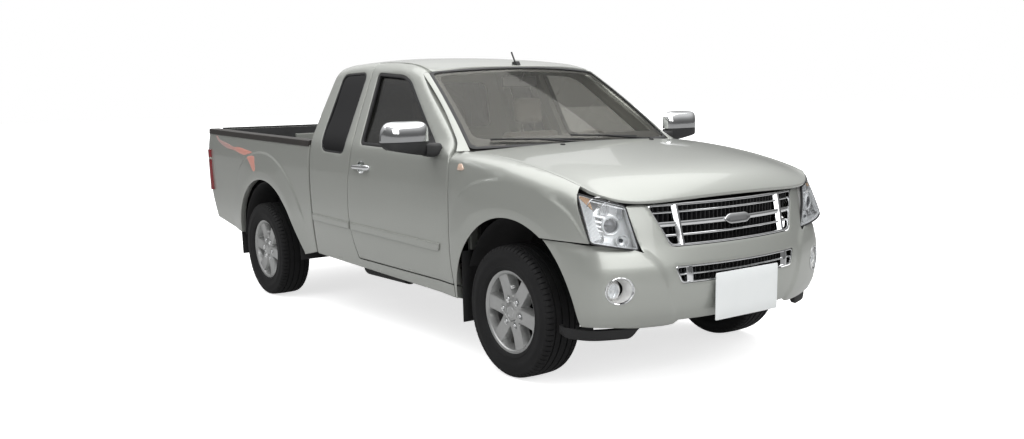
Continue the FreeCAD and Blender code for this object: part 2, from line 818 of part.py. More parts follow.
def make_hinge_post(side):
    """Inner sill, hinge post and the apron rail that carries the fender and reaches the lamp."""
    low, high = inner_half + seat_gap, body_half_width - sill_tuck - door_thickness - post_clearance
    x = door_front_x + firewall_ahead
    sill = box(cab_rear_x + 50, x, low, high, 380, 470)
    post = box(x - 30, x, low, high, 470, 990).fuse(box(x - 30, x, low, low + 38, 990, 1086))
    end = ahead(430)
    top = [(a, hood_edge_z(a) - hood_thickness - shut_gap) for a in spread(x - 6, end, 6)]
    foot = [top[-1], (end, 800), (ahead(330), 850), (x, 940), (x - 6, 940), top[0]]
    below = [[a, b] for a, b in zip(foot, foot[1:])]
    apron = plate_y([top] + below, hood_side_y - 12, hood_side_y + shut_gap + 4)
    raised = [(a, z + 1.2) for a, z in top]
    lip = plate_y([raised, [raised[-1], foot[2]], [foot[2], foot[3]], [foot[3], foot[4]], [foot[4], raised[0]]],
                  hood_side_y + shut_gap + 1, hood_side_y + shut_gap + 4)
    return on_side(sill.fuse([post, apron, lip]), side)


def make_back_panel():
    """Rear wall of the cab, upright below and leaning forward above, with its window cut."""
    r, t = cab_rear_x, back_wall
    foot = cab_floor_z
    profile = [(r + 4, foot), (r + 4, 1130), (r + 98, 1590), (r + 98 + t, 1590), (r + 4 + t, 1130), (r + 4 + t, foot)]
    wall = plate_y(closed(profile), -900, 900)
    heights = [410, 560, 760, 960, 1110, 1230, 1350, 1460, 1530, 1600]
    edge = [(side_y(r + 98 + t, z + slab_drop) - door_thickness - shut_gap - 3, z) for z in heights]
    left = [edge, [edge[-1], (-edge[-1][0], edge[-1][1])]]
    right = [(-y, z) for y, z in reversed(edge)]
    keep = left + [right, [right[-1], edge[0]]]
    wall = wall.common(plate_x(keep, r - 50, r + 300))
    hole = [(-580, 1190), (580, 1190), (500, 1500), (-500, 1500)]
    opening = plate_x(rounded(hole, 60), r - 50, r + 300)
    wall = wall.cut(opening)
    rows = [[roof_point(s, t) - Vector(0, 0, roof_thickness + seat_gap) for s in (0.5, 0.8, 1, 1.1)]
            for t in spread(-1.1, 1.1, 9)]
    wall = wall.cut(panel(rows, (0, 0, 150)))
    wall = max(wall.Solids, key=lambda part: part.Volume)
    pane = plate_y(closed([(r + 22, 1130), (r + 108, 1560), (r + 113, 1560), (r + 27, 1130)]), -600, 600)
    return wall, pane.common(opening)


def make_bed_box():
    """Bed liner: floor, front wall and side walls, with the wheel housings standing up through it."""
    half = body_half_width - belt_tuck - door_thickness - 22
    x0, x1 = bed_rear_x, bed_front_x - 1
    base = bed_floor_level + lift(bed_front_x)
    top = rail_z + lift(bed_front_x) - rail_height / 2
    tub = box(x0, x1, -half, half, base, top)
    well = box(x0 - 10, x1 - bed_wall, -half + bed_wall, half - bed_wall, base + bed_wall, top + 10)
    tub = tub.cut(well)
    for side in (LEFT, RIGHT):
        outer = across(rear_arch_radius + 6, rear_arch_x, axle_z, half - 190, half)
        outer = outer.common(box(x0, x1, half - 200, half, base, top))
        inner = across(rear_arch_radius - 14, rear_arch_x, axle_z, half - 170, half + 50)
        tub = tub.fuse(on_side(outer, side)).cut(on_side(inner, side))
        corner = box(rear_x, rear_x + 98 + seat_gap, post_y - seat_gap, 900, 500, 1200)
        tub = tub.cut(on_side(corner, side))
    return max(tub.Solids, key=lambda s: s.Volume)


def make_rails():
    """Plastic caps along the top of the bed sides."""
    solids = []
    for side in (LEFT, RIGHT):
        wires = []
        for x in spread(rear_x + 30, bed_front_x - 2, 7):
            z = rail_z + lift(x) + seat_gap
            y = side_y(x, z)
            ring = [(y + 4, z), (y + 2, z + rail_height - 6), (y - 8, z + rail_height)]
            ring += [(y - rail_width, z + rail_height), (y - rail_width - 4, z)]
            wires.append(Part.makePolygon([Vector(x, a, b) for a, b in ring + ring[:1]]))
        solids.append(on_side(Part.makeLoft(wires, True, True), side))
    return solids


def make_tailgate():
    """Bottom-hinged tailgate with a pressed recess and a handle."""
    z0, z1 = tailgate_foot_z, rail_z + lift(rear_x) + rail_height
    gate = box(tailgate_x, tailgate_x + tailgate_thickness, -tailgate_half_width, tailgate_half_width, z0, z1)
    recess = box(tailgate_x - 10, tailgate_x + 8, -560, 560, z0 + 90, z1 - 170)
    gate = gate.cut(recess)
    handle = box(tailgate_x - 10, tailgate_x + 22, -90, 90, z1 - 130, z1 - 70)
    gate = gate.cut(handle)
    lever = box(tailgate_x + 4, tailgate_x + 22, -70, 70, z1 - 112, z1 - 88)
    return gate.fuse(lever)


def lamp_block(gap):
    """Wrap-round tail lamp at the corner of the bed, grown by a gap."""
    x, g = rear_x + 8, gap
    plan = [(x + 60 + g, 900), (x - 8 - g, 900), (x - 8 - g, post_y + 6 - g), (x + 60 + g, post_y + 6 - g)]
    if gap == 0:
        plan = [(x + 60, 843), (x + 20, 846), (x - 6, 832), (x - 8, 770), (x - 8, post_y + 6), (x + 60, post_y + 6)]
    return plate_z(closed(plan), 730 - g, 1010 + g)


def make_rear_sill():
    """Cross sill under the tailgate."""
    y = post_y - seat_gap
    return box(rear_x + 12, rear_x + 50, -y, y, 520, tailgate_foot_z - 12)


def make_engine():
    """Engine block with its bell housing and gearbox."""
    block = box(ahead(-250), ahead(420), -190, 190, engine_z, 985)
    bell = box(ahead(-340), ahead(-240), -150, 150, 300, 900)
    gearbox = box(ahead(-1000), ahead(-330), -110, 110, 300, cab_floor_z - 1)
    return block.fuse([bell, gearbox])


def make_radiator():
    """Radiator core and the panel that carries it behind the grilles."""
    core = box(ahead(550), ahead(590), -400, 400, 520 + seat_gap, 860)
    beam = box(ahead(550), ahead(590), -550, 550, 830, 860)
    return core.fuse(beam)


def make_seat(y):
    """Bucket seat: base, cushion, backrest and headrest."""
    x = door_front_x - 860
    z = cab_floor_z + floor_thickness + seat_gap
    base = box(x, x + 420, y - 200, y + 200, z, z + 120)
    cushion = plate_y(rounded([(x - 20, z + 110), (x + 500, z + 120), (x + 500, z + 240), (x, z + 220)], 50), y - 250, y + 250)
    back = [(x - 30, z + 200), (x + 110, z + 230), (x - 10, z + 760), (x - 110, z + 750)]
    rest = plate_y(rounded(back, 50), y - 240, y + 240)
    head = [(x - 112, z + 770), (x - 20, z + 770), (x - 40, z + 950), (x - 130, z + 940)]
    pad = plate_y(rounded(head, 40), y - 120, y + 120)
    posts = [rod((x - 70, y + d, z + 700), (x - 78, y + d, z + 800), 7) for d in (-50, 50)]
    return base.fuse([cushion, rest, pad] + posts)


def make_rear_bench():
    z = cab_floor_z + floor_thickness + seat_gap
    r = cab_rear_x + 45 + seat_gap
    bench = plate_y(rounded([(r, z), (r + 330, z), (r + 330, z + 300), (r, z + 280)], 30), -600, 600)
    back = plate_y(rounded([(r, z + 270), (r + 110, z + 280), (r + 90, z + 660), (r, z + 640)], 30), -600, 600)
    return bench.fuse(back)


def make_dashboard():
    """Dashboard across the cab, with the binnacle in front of the driver."""
    wall = door_front_x + firewall_ahead - seat_gap
    profile = [(wall, 700), (wall, 1080), (wall - 120, 1092), (wall - 330, 1060), (wall - 350, 960), (wall - 250, 720)]
    half = inner_half
    board = plate_y(rounded(profile, 40), -half, half)
    hood = plate_y(rounded([(wall - 320, 1040), (wall - 160, 1060), (wall - 160, 1110), (wall - 330, 1120)], 30), 250, 560)
    return board.fuse(hood)


def make_steering_wheel(board):
    """Rim, spokes and the column that ends against the dashboard."""
    centre = Vector(door_front_x - 370, 390, 1010)
    lean = Vector(math.cos(math.radians(25)), 0, -math.sin(math.radians(25)))
    rim = Part.makeTorus(185, 15, Vector(0, 0, 0), Vector(0, 0, 1))
    hub = Part.makeCylinder(55, 40, Vector(0, 0, 0), Vector(0, 0, -1))
    wheel = rim.fuse(hub)
    for angle in (0, 180, 270):
        spoke = box(30, 180, -16, 16, -8, 8)
        spoke.rotate(Vector(0, 0, 0), Vector(0, 0, 1), angle)
        wheel = wheel.fuse(spoke)
    wheel.rotate(Vector(0, 0, 0), Vector(0, 1, 0), -65)
    wheel.translate(centre)
    column = Part.makeCylinder(30, 150, centre + lean * 20, lean)
    column = column.cut(board.translated(Vector(-seat_gap, 0, 0)))
    column = min(column.Solids, key=lambda part: part.CenterOfMass.x)
    return wheel.fuse(column)


def make_mirror(side, door):
    """Door mirror: arm at the foot of the window and a rounded shell."""
    x = door_front_x - 122
    shell = [(846, 1150), (1020, 1146), (1148, 1176), (1152, 1262), (1120, 1284), (935, 1284), (906, 1262), (896, 1180)]
    head = plate_x(rounded(shell, 30), x - 70, x + 62)
    foot = [(x + 40, 1108), (x + 80, 1190), (x - 30, 1204), (x - 60, 1120)]
    arm = plate_y(rounded(foot, 18), side_y(x, 1108) - 12, 930)
    body = head.fuse(arm).cut(door.translated(Vector(0, seat_gap, 0)))
    return on_side(max(body.Solids, key=lambda part: part.Volume), side)


def make_rear_axle():
    """Beam axle with its differential housing and brake drums' back plates."""
    reach = track / 2 - 40
    beam = across(axle_tube_radius, rear_axle_x, axle_z, -reach, reach)
    casing = Part.makeSphere(150, Vector(rear_axle_x, 0, axle_z))
    casing = casing.common(box(rear_axle_x - 110, rear_axle_x + 140, -120, 120, axle_z - 140, axle_z + 130))
    axle = beam.fuse(casing)
    for side in (LEFT, RIGHT):
        plate = across(120, rear_axle_x, axle_z, reach - 20, reach)
        axle = axle.fuse(on_side(plate, side))
    return axle


def make_leaf_springs():
    """Leaf packs above the axle, each an arched stack between its hanger and its shackle."""
    solids = []
    w = 30
    x = rear_axle_x
    seat = axle_z + axle_tube_radius + seat_gap
    top = [(x + 620, 470), (x + 300, seat + 70), (x, seat + 44), (x - 300, seat + 70), (x - 640, 470)]
    low = [(x - 640, 458), (x - 300, seat + 46), (x, seat), (x + 300, seat + 46), (x + 620, 458)]
    leaf = plate_y([top, [top[-1], low[0]], low, [low[-1], top[0]]], spring_y - w, spring_y + w)
    for eye in (x + 620, x - 640):
        inner = frame_rail_y + frame_rail_width / 2 + seat_gap
        leaf = leaf.fuse(across(28, eye, 470, inner, spring_y + w))
    for side in (LEFT, RIGHT):
        solids.append(on_side(leaf, side))
    return solids


def make_front_suspension():
    """Upper and lower arms on each side of the frame."""
    solids = []
    inner = frame_rail_y + frame_rail_width / 2 + seat_gap
    for z, ball in ((axle_z - 60, axle_z - 128), (axle_z + 150, axle_z + 128)):
        arm = [(front_axle_x - 160, inner), (front_axle_x - 120, inner), (front_axle_x, kingpin_y - 60)]
        arm += [(front_axle_x + 120, inner), (front_axle_x + 160, inner), (front_axle_x + 26, kingpin_y + 20)]
        arm.append((front_axle_x - 26, kingpin_y + 20))
        plate = plate_z(closed(arm), ball - 12, ball + 12)
        for side in (LEFT, RIGHT):
            solids.append(on_side(plate, side))
    return solids


def make_knuckle(side):
    """Upright between the ball joints, with the spindle that carries the wheel."""
    x = front_axle_x
    low, high = axle_z - 116 + seat_gap, axle_z + 116 - seat_gap
    post = box(x - 24, x + 24, kingpin_y - 22, kingpin_y + 22, low, high)
    spindle = across(34, x, axle_z, kingpin_y, track / 2 - 24 - seat_gap)
    plate = across(90, x, axle_z, kingpin_y + 8, kingpin_y + 18)
    return on_side(post.fuse([spindle, plate]), side)


def make_splash_guards():
    """Mud flaps, front wheel liners and the dark air dams under the bumper, ahead of the wheels."""
    solids = []
    post_x = door_front_x + firewall_ahead + seat_gap
    rail_side = frame_rail_y + frame_rail_width / 2 + seat_gap
    bed_under = bed_floor_level + lift(bed_front_x) - seat_gap
    for side in (LEFT, RIGHT):
        front = box(post_x, post_x + 6, inner_half + 1, 812, 215, 600)
        rear = box(rear_axle_x - 500, rear_axle_x - 494, 640, 742, 250, bed_under)
        liner = across(front_arch_radius + 8, front_arch_x, axle_z - 6, rail_side, 772)
        liner = liner.cut(across(front_arch_radius + 2, front_arch_x, axle_z - 6, 400, 900))
        liner = liner.common(box(post_x + floor_thickness + 4, ahead(600), 400, 900, 430, 900))
        solids += [on_side(liner, side), on_side(front, side), on_side(rear, side)]
    z = bumper_foot_z - seat_gap
    flat = [(x, y) for x, y in nose_outline(bumper_foot_z, 16) if y > air_dam_inner_y]
    flat.append((ahead(380), flat[-1][1]))
    for side in (LEFT, RIGHT):
        solids.append(on_side(plate_z(closed(flat), z - air_dam_height, z), side))
    return solids


def make_cowl():
    """Dark panel between the hood's rear edge and the foot of the windshield."""
    rows = []
    for t in spread(-0.98, 0.98, 9):
        foot = windshield_point(0, t)
        hood = hood_point(0, foot.y / hood_side_y)
        ledge = Vector(hood.x + 24, foot.y, hood.z - hood_thickness - 12)
        start = Vector(foot.x + 2, foot.y, foot.z - 7)
        rows.append([start + (ledge - start) * share for share in (0, 0.35, 0.7, 1)])
    return panel(rows, (0, 0, -6))


def make_wipers(cowl):
    """Two wipers at rest along the foot of the windshield."""
    solids = []
    for pivot_t, tip_t in ((-0.12, -0.86), (0.62, -0.06)):
        blade = [windshield_point(0.035 + 0.05 * k / 4, pivot_t * 0.8 + (tip_t - pivot_t) * k / 4, 9) for k in range(5)]
        wiper = rod(blade[0], blade[1], 5)
        for a, b in zip(blade[1:], blade[2:]):
            wiper = wiper.fuse(rod(a, b, 5))
        pivot = windshield_point(0, pivot_t, 6) + Vector(16, 0, 2)
        wiper = wiper.fuse(rod(pivot, blade[2], 6))
        wiper = wiper.fuse(rod(pivot - Vector(0, 0, 20), pivot + Vector(0, 0, 8), 9))
        wiper = wiper.cut(cowl.translated(Vector(0, 0, seat_gap)))
        solids.append(max(wiper.Solids, key=lambda part: part.Volume))
    return solids


def make_antenna(roof):
    """Short mast on the front of the roof."""
    x = windshield_head.x + 33
    z = roof_middle_z(x) - 10
    foot = plate_y(rounded([(x - 34, z), (x + 26, z), (x + 8, z + 32), (x - 26, z + 28)], 6), -14, 14)
    mast = foot.fuse(rod((x - 12, 0, z + 20), (x - 50, 0, z + 86), 5))
    mast = mast.cut(roof.translated(Vector(0, 0, seat_gap)))
    return max(mast.Solids, key=lambda part: part.CenterOfMass.z)


def make_number_plate():
    """Blank plate against the middle of the bumper."""
    return box(front_x - plate_thickness, front_x, -plate_half_width, plate_half_width, plate_foot_z, plate_top_z)


def make_handle(side, door):
    """Pull handle across its recess in the door."""
    x0, x1 = door_rear_x + 62, door_rear_x + 232
    z = handle_z
    y = max(side_y(a, b) for a in (x0, x1) for b in (z - 14, z + 14))
    bow = [(x0, y + seat_gap), (x0 + 6, y + 18), (x0 + 50, y + 30), (x1 - 50, y + 30), (x1 - 6, y + 18)]
    bow += [(x1, y + seat_gap), (x1 - 24, y + seat_gap), (x1 - 40, y + 20), (x0 + 40, y + 20), (x0 + 24, y + seat_gap)]
    handle = plate_z(closed(bow), z - 14, z + 14).cut(door.translated(Vector(0, seat_gap, 0)))
    return on_side(max(handle.Solids, key=lambda part: part.Volume), side)


def make_drive_shaft():
    start = Vector(ahead(-1000) - seat_gap, 0, 352)
    end = Vector(rear_axle_x + 140 + seat_gap, 0, axle_z + 10)
    return rod(start, end, 38)


def make_exhaust():
    """Pipe, silencer and tail pipe on the right: under the rail, over the axle and out at the back."""
    bends = [(ahead(-420), 250, 350), (ahead(-1100), 250, 350), (ahead(-1250), 250, 262), (ahead(-1450), 475, 262)]
    bends += [(ahead(-1550), 475, 290), (ahead(-2080), 475, 290), (rear_axle_x + 560, 448, 330)]
    bends += [(rear_axle_x + 230, 448, 460), (rear_axle_x - 230, 448, 460), (rear_axle_x - 560, 448, 380)]
    bends.append((rear_x + 150, 448, 350))
    bends = [Vector(x, -y, z) for x, y, z in bends]
    pipes = [rod(a, b, 24) for a, b in zip(bends, bends[1:])] + [Part.makeSphere(24, at) for at in bends[1:-1]]
    silencer = rod((ahead(-1560), -475, 290), (ahead(-2070), -475, 290), 62)
    inner = frame_rail_y - frame_rail_width / 2 - seat_gap
    outer = frame_rail_y + frame_rail_width / 2 + seat_gap
    hangers = [rod((ahead(-800), -inner, 350), (ahead(-800), -250, 350), 6)]
    hangers.append(rod((ahead(-1800), -outer, 320), (ahead(-1800), -450, 320), 6))
    hangers.append(rod((rear_axle_x - 400, -outer, 446), (rear_axle_x - 400, -448, 446), 6))
    return silencer.fuse(pipes + hangers)


def make_fuel_tank():
    """Tank between the left rail and the propeller shaft."""
    outer = frame_rail_y - frame_rail_width / 2 - seat_gap
    return plate_x(rounded([(90, 250), (outer, 250), (outer, 400), (90, 400)], 30), ahead(-2080), ahead(-1240))


def make_spare_wheel():
    """Spare tyre and its steel wheel, slung flat under the bed."""
    x, z = spare_x, spare_z
    half = tyre_width / 2
    ring = [(r, w) for r, w in tyre_profile()]
    ring += [(r, -w) for r, w in reversed(tyre_profile())]
    runs = [ring[:6], [ring[5], ring[6]], ring[6:], [ring[-1], ring[0]]]
    wire = outline(runs, lambda r, w: Vector(x + r, 0, z + w))
    tyre = Part.Face(wire).revolve(Vector(x, 0, z), Vector(0, 0, 1), 360)
    disc = Part.makeCylinder(rim_radius + 6, 20, Vector(x, 0, z - half + 40))
    winch = Part.makeCylinder(30, tyre_width - 60 + 1 - seat_gap, Vector(x, 0, z - half + 60))
    return tyre.fuse([disc, winch])


def main():
    os.makedirs("parts", exist_ok=True)
    slab = cab_side_slab()
    door, pane = make_doors(slab)
    cab_side, quarter_pane = make_cab_side(slab)
    for name, side in (("left", LEFT), ("right", RIGHT)):
        save("door_" + name, on_side(door, side))
        save("door_glass_" + name, on_side(pane, side))
        save("mirror_" + name, make_mirror(side, door))
        save("door_handle_" + name, make_handle(side, door))
        save("knuckle_" + name, make_knuckle(side))
        save("tyre_front_" + name, make_tyre(front_axle_x, side))
        save("tyre_rear_" + name, make_tyre(rear_axle_x, side))
        save("wheel_front_" + name, make_wheel(front_axle_x, side))
        save("wheel_rear_" + name, make_wheel(rear_axle_x, side))
    both = (LEFT, RIGHT)
    posts = [make_hinge_post(side) for side in both]
    save("cab_sides", cab_side[0], mirrored(cab_side[0]), *posts)
    save("fenders", *[make_fender(side) for side in both])
    save("bed_sides", *[make_bed_side(side) for side in both], make_rear_sill())
    save("headlamps", *[make_headlamp(side) for side in both])
    save("tail_lamps", *[on_side(lamp_block(0), side) for side in both])
    save("hood", make_hood())
    save("windshield", make_windshield())
    roof = make_roof()
    save("roof_panel", roof)
    save("antenna", make_antenna(roof))
    save("windshield_pillars", *make_pillars())
    cowl = make_cowl()
    save("cowl_panel", cowl)
    save("wipers", *make_wipers(cowl))
    save("bumper", make_bumper())
    save("grilles", *make_grilles())
    save("fog_lamps", *make_fog_lamps())
    save("number_plate", make_number_plate())
    save("splash_guards", *make_splash_guards())
    save("frame", make_frame())
    save("cab_floor", make_floor())
    wall, rear_pane = make_back_panel()
    save("cab_back", wall)
    save("cab_glass", rear_pane, quarter_pane, mirrored(quarter_pane))
    save("bed_box", make_bed_box())
    save("bed_rails", *make_rails())
    save("tailgate", make_tailgate())
    save("engine", make_engine())
    save("radiator", make_radiator())
    save("seats", make_seat(380), make_seat(-380), make_rear_bench())
    board = make_dashboard()
    save("dashboard", board)
    save("steering_wheel", make_steering_wheel(board))
    save("rear_axle", make_rear_axle())
    save("leaf_springs", *make_leaf_springs())
    save("front_suspension", *make_front_suspension())
    save("drive_shaft", make_drive_shaft())
    save("exhaust", make_exhaust())
    save("fuel_tank", make_fuel_tank())
    save("spare_wheel", make_spare_wheel())


main()
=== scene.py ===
"""Looks of the pickup truck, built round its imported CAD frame.

Lengths in the sections are millimetres in the frame's own axes, X forward, Y to the truck's left and Z up.
"""

import json
import math
from bisect import bisect

import bmesh
import bpy
import numpy as np
from mathutils import Matrix, Vector, geometry

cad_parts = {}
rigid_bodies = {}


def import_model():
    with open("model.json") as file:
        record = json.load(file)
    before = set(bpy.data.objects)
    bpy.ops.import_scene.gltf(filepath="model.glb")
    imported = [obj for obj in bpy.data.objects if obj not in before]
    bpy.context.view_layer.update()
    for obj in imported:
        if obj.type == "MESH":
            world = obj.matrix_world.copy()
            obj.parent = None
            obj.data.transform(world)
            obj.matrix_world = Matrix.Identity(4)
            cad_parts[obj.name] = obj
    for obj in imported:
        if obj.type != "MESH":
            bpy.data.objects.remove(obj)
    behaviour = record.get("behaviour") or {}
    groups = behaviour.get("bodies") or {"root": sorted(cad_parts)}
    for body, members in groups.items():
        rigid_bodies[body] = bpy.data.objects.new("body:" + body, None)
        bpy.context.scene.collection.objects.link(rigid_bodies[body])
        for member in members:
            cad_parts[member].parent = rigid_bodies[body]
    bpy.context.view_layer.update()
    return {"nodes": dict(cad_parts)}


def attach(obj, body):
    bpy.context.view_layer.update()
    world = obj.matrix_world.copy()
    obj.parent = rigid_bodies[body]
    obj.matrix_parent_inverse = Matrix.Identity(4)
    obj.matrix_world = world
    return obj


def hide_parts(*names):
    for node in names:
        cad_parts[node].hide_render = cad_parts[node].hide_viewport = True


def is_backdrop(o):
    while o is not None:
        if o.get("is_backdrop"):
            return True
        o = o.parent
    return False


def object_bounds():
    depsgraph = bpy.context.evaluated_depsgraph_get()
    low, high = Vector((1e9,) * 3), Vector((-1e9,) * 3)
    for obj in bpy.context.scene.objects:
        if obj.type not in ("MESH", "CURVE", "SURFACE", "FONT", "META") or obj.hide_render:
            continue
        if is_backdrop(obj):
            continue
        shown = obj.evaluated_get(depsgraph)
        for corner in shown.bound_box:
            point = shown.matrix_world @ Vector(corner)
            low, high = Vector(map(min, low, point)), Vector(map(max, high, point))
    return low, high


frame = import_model()
nodes = frame["nodes"]

# ---------------------------------------------------------------- Studio
# A pale floor under soft lamps, with the camera where the photographer stood. The surroundings are white where
# the camera sees them itself or through glass. As light and in reflections they go from dim at the horizon to
# bright overhead, so that the truck keeps its shading.


class Socket:
    """An output of a shader node. Arithmetic on it adds Math nodes, and node() adds any other node."""

    def __init__(self, tree, out=None):
        self.tree = tree
        self.out = out

    def node(self, kind, settings=(), output=0, **values):
        made = self.tree.nodes.new("ShaderNode" + kind)
        for name, value in dict(settings).items():
            if name == "stops":
                while len(made.color_ramp.elements) < len(value):
                    made.color_ramp.elements.new(0.5)
                for element, (place, colour) in zip(made.color_ramp.elements, value):
                    element.position = place
                    element.color = (*colour, 1)
            else:
                setattr(made, name, value)
        for name, value in values.items():
            socket = made.inputs[int(name[1:]) if name[1:].isdigit() else name.replace("_", " ")]
            if isinstance(value, Socket):
                self.tree.links.new(value.out, socket)
            else:
                socket.default_value = value
        return Socket(self.tree, made.outputs[output])

    def maths(self, operation, first, second=0.0):
        return self.node("Math", {"operation": operation}, i0=first, i1=second)

    def __add__(self, other):
        return self.maths("ADD", self, other)

    def __radd__(self, other):
        return self.maths("ADD", other, self)

    def __sub__(self, other):
        return self.maths("SUBTRACT", self, other)

    def __rsub__(self, other):
        return self.maths("SUBTRACT", other, self)

    def __mul__(self, other):
        return self.maths("MULTIPLY", self, other)

    def __rmul__(self, other):
        return self.maths("MULTIPLY", other, self)

    def __gt__(self, other):
        return self.maths("GREATER_THAN", self, other)

    def above(self, low, high):
        """Rises smoothly from 0 to 1 as this goes from low to high."""
        return self.node("MapRange", {"interpolation_type": "SMOOTHSTEP"}, Value=self, From_Min=low, From_Max=high)


def blank(name):
    """A new material and the socket that its nodes are added from."""
    material = bpy.data.materials.new(name)
    material.use_nodes = True
    return material, Socket(material.node_tree)


def dress(material, **values):
    """Sets or links the sockets of a material's own shader."""
    shader = material.node_tree.nodes["Principled BSDF"]
    for name, value in values.items():
        socket = shader.inputs[name.replace("_", " ")]
        if isinstance(value, Socket):
            material.node_tree.links.new(value.out, socket)
        else:
            socket.default_value = value
    return material


def seen(start):
    """1 for what the camera sees itself, in a reflection or through glass."""
    whole = start.node("LightPath", output="Is Camera Ray") + start.node("LightPath", output="Is Glossy Ray")
    whole = whole + start.node("LightPath", output="Is Transmission Ray")
    return whole.maths("MINIMUM", whole, 1.0)


scene = bpy.context.scene
scene.view_settings.view_transform = "Standard"
world = bpy.data.worlds.new("studio")
world.use_nodes = True
scene.world = world
start = Socket(world.node_tree)
sky = world.node_tree.nodes["Background"]
sky.inputs["Color"].default_value = (1, 1, 1, 1)
height = start.node("SeparateXYZ", output="Z", Vector=start.node("TexCoord", output="Generated"))
horizon_glow, overhead_rise = 0.13, 0.82
sky_glow = horizon_glow + height.above(0.0, 0.85) * overhead_rise
straight = start.node("LightPath", output="Is Camera Ray") + start.node("LightPath", output="Is Transmission Ray")
straight = straight.maths("MINIMUM", straight, 1.0)
strength = sky_glow + straight * (1 - sky_glow)
world.node_tree.links.new(strength.out, sky.inputs["Strength"])

floor_finish, start = blank("studio_floor")
spot = start.node("TexNoise", Scale=0.7, Detail=2.0)
tone = start.node("ValToRGB", {"stops": [(0.3, (0.86, 0.86, 0.86)), (0.7, (0.9, 0.9, 0.9))]}, Fac=spot)
far = start.node("VectorMath", {"operation": "LENGTH"}, output="Value", i0=start.node("NewGeometry", output="Position"))
glossy = start.node("LightPath", output="Is Glossy Ray")
glow = seen(start) * (0.7 + far.above(2.6, 6.0) * 0.3) - glossy * (0.52 + far.above(2.6, 8.0) * 0.37)
direct = seen(start) - glossy
floor_grey = (0.36, 0.36, 0.36, 1)
tone = start.node("Mix", {"data_type": "RGBA"}, output=2, i0=direct, i6=floor_grey, i7=tone)
dress(floor_finish, Base_Color=tone, Roughness=0.9, Specular_IOR_Level=0.0, Emission_Color=glow, Emission_Strength=1.0)
floor_mesh = bpy.data.meshes.new("studio_floor")
floor_mesh.from_pydata([(-90, -90, 0), (90, -90, 0), (90, 90, 0), (-90, 90, 0)], [], [(0, 1, 2, 3)])
floor_mesh.materials.append(floor_finish)
floor = bpy.data.objects.new("studio_floor", floor_mesh)
scene.collection.objects.link(floor)
floor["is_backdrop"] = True


def lamp(name, place, aim, size, power):
    """A rectangular soft lamp."""
    light = bpy.data.lights.new(name, "AREA")
    light.shape = "RECTANGLE"
    light.size, light.size_y = size
    light.energy = power
    holder = bpy.data.objects.new(name, light)
    holder.location = place
    holder.rotation_euler = (Vector(aim) - Vector(place)).to_track_quat("-Z", "Y").to_euler()
    scene.collection.objects.link(holder)


lamp("ceiling_lamp", (0.6, -0.5, 5.2), (0, 0, 0), (10, 8), 340)
lamp("nose_lamp", (7.5, -1.5, 3.4), (1.2, 0, 0.8), (4.5, 2.8), 130)
lamp("side_lamp", (1.0, -8.0, 3.6), (0, 0, 0.9), (6, 2), 14)
lamp("tail_lamp_light", (-7.5, 3.0, 3.6), (-1, 0, 0.9), (8, 5), 60)

camera_place = (5.675485, -3.732307, 1.398249)
yaw, pitch, roll = 2.502300, -0.198362, -0.022883
ahead_of = Vector((math.cos(pitch) * math.cos(yaw), math.cos(pitch) * math.sin(yaw), math.sin(pitch)))
right_of = ahead_of.cross(Vector((0, 0, 1))).normalized()
over = right_of.cross(ahead_of)
turned_right = math.cos(roll) * right_of + math.sin(roll) * over
turned_up = math.cos(roll) * over - math.sin(roll) * right_of
camera = bpy.data.objects.new("camera", bpy.data.cameras.new("camera"))
camera.matrix_world = Matrix.Translation(camera_place) @ Matrix(
    (turned_right, turned_up, -ahead_of)).transposed().to_4x4()
camera.data.sensor_width = 36
camera.data.lens = 35.812
camera.data.shift_x = -0.013903
camera.data.shift_y = 0.079544
camera.data.clip_end = 200
scene.collection.objects.link(camera)
scene.camera = camera

# ---------------------------------------------------------------- Doors
# Pressed steel doors in metallic silver, clear coated. Each skin is hemmed over its frame all round, so the
# shut lines have round edges. The body's side surface is given here, and the other side panels use it too.

front_axle_x = 1615.0
rear_axle_x = -1435.0
rear_x = -2445.0
axle_z = 338.0
door_front_x = 1142.0
door_rear_x = -10.0
cab_rear_x = -550.0
bed_front_x = -570.0
front_arch = (1649.0, 486.0)
rear_arch = (-1355.0, 514.0)
belt_z = 1074.0
shut_gap = 6.0
door_thickness = 60.0
door_bodies = ("door_left", "door_right")
slab_slope = 0.3
windshield_foot = (1164.0, 725.0, 1128.0)
windshield_head = (580.0, 601.0, 1546.0)
pillar_slope = (windshield_foot[0] - windshield_head[0]) / (windshield_head[2] - windshield_foot[2])
pillar_width = 34.0
cant_line = [(-455, 1602), (-345, 1616), (-185, 1622), (88, 1619), (285, 1610), (435, 1592), (535, 1568), (580, 1552)]


def ahead(distance):
    """Station at a distance ahead of the front axle."""
    return front_axle_x + distance


def lift(x):
    """How far the raked body has risen at a station."""
    return 0.03 * (front_axle_x - x)


def smooth(t):
    """Eases from 0 to 1 as t goes from 0 to 1."""
    t = max(0.0, min(1.0, t))
    return t * t * (3 - 2 * t)


def knee(t, width):
    """0 below, t above, with a round bend between."""
    return 0.0 if t < -width else t if t > width else (t + width) ** 2 / (4 * width)


def along(points, x):
    """Height at x of a line through given points."""
    for (x0, z0), (x1, z1) in zip(points, points[1:]):
        if x <= x1 or (x1, z1) == points[-1]:
            return z0 + (z1 - z0) * (x - x0) / (x1 - x0)


def eased(points, x):
    """Height at x of a soft curve through given points."""
    reach = 40.0
    return (along(points, x - reach) + 2 * along(points, x) + along(points, x + reach)) / 4


def crease_shift(arch_x, x):
    """How far the front crease runs outside its evenly round place, lower over the wheel and wider beside it."""
    return -18 + min(36.0, 40 * ((x - arch_x - 71) / 400) ** 2) if arch_x > 0 else 0.0


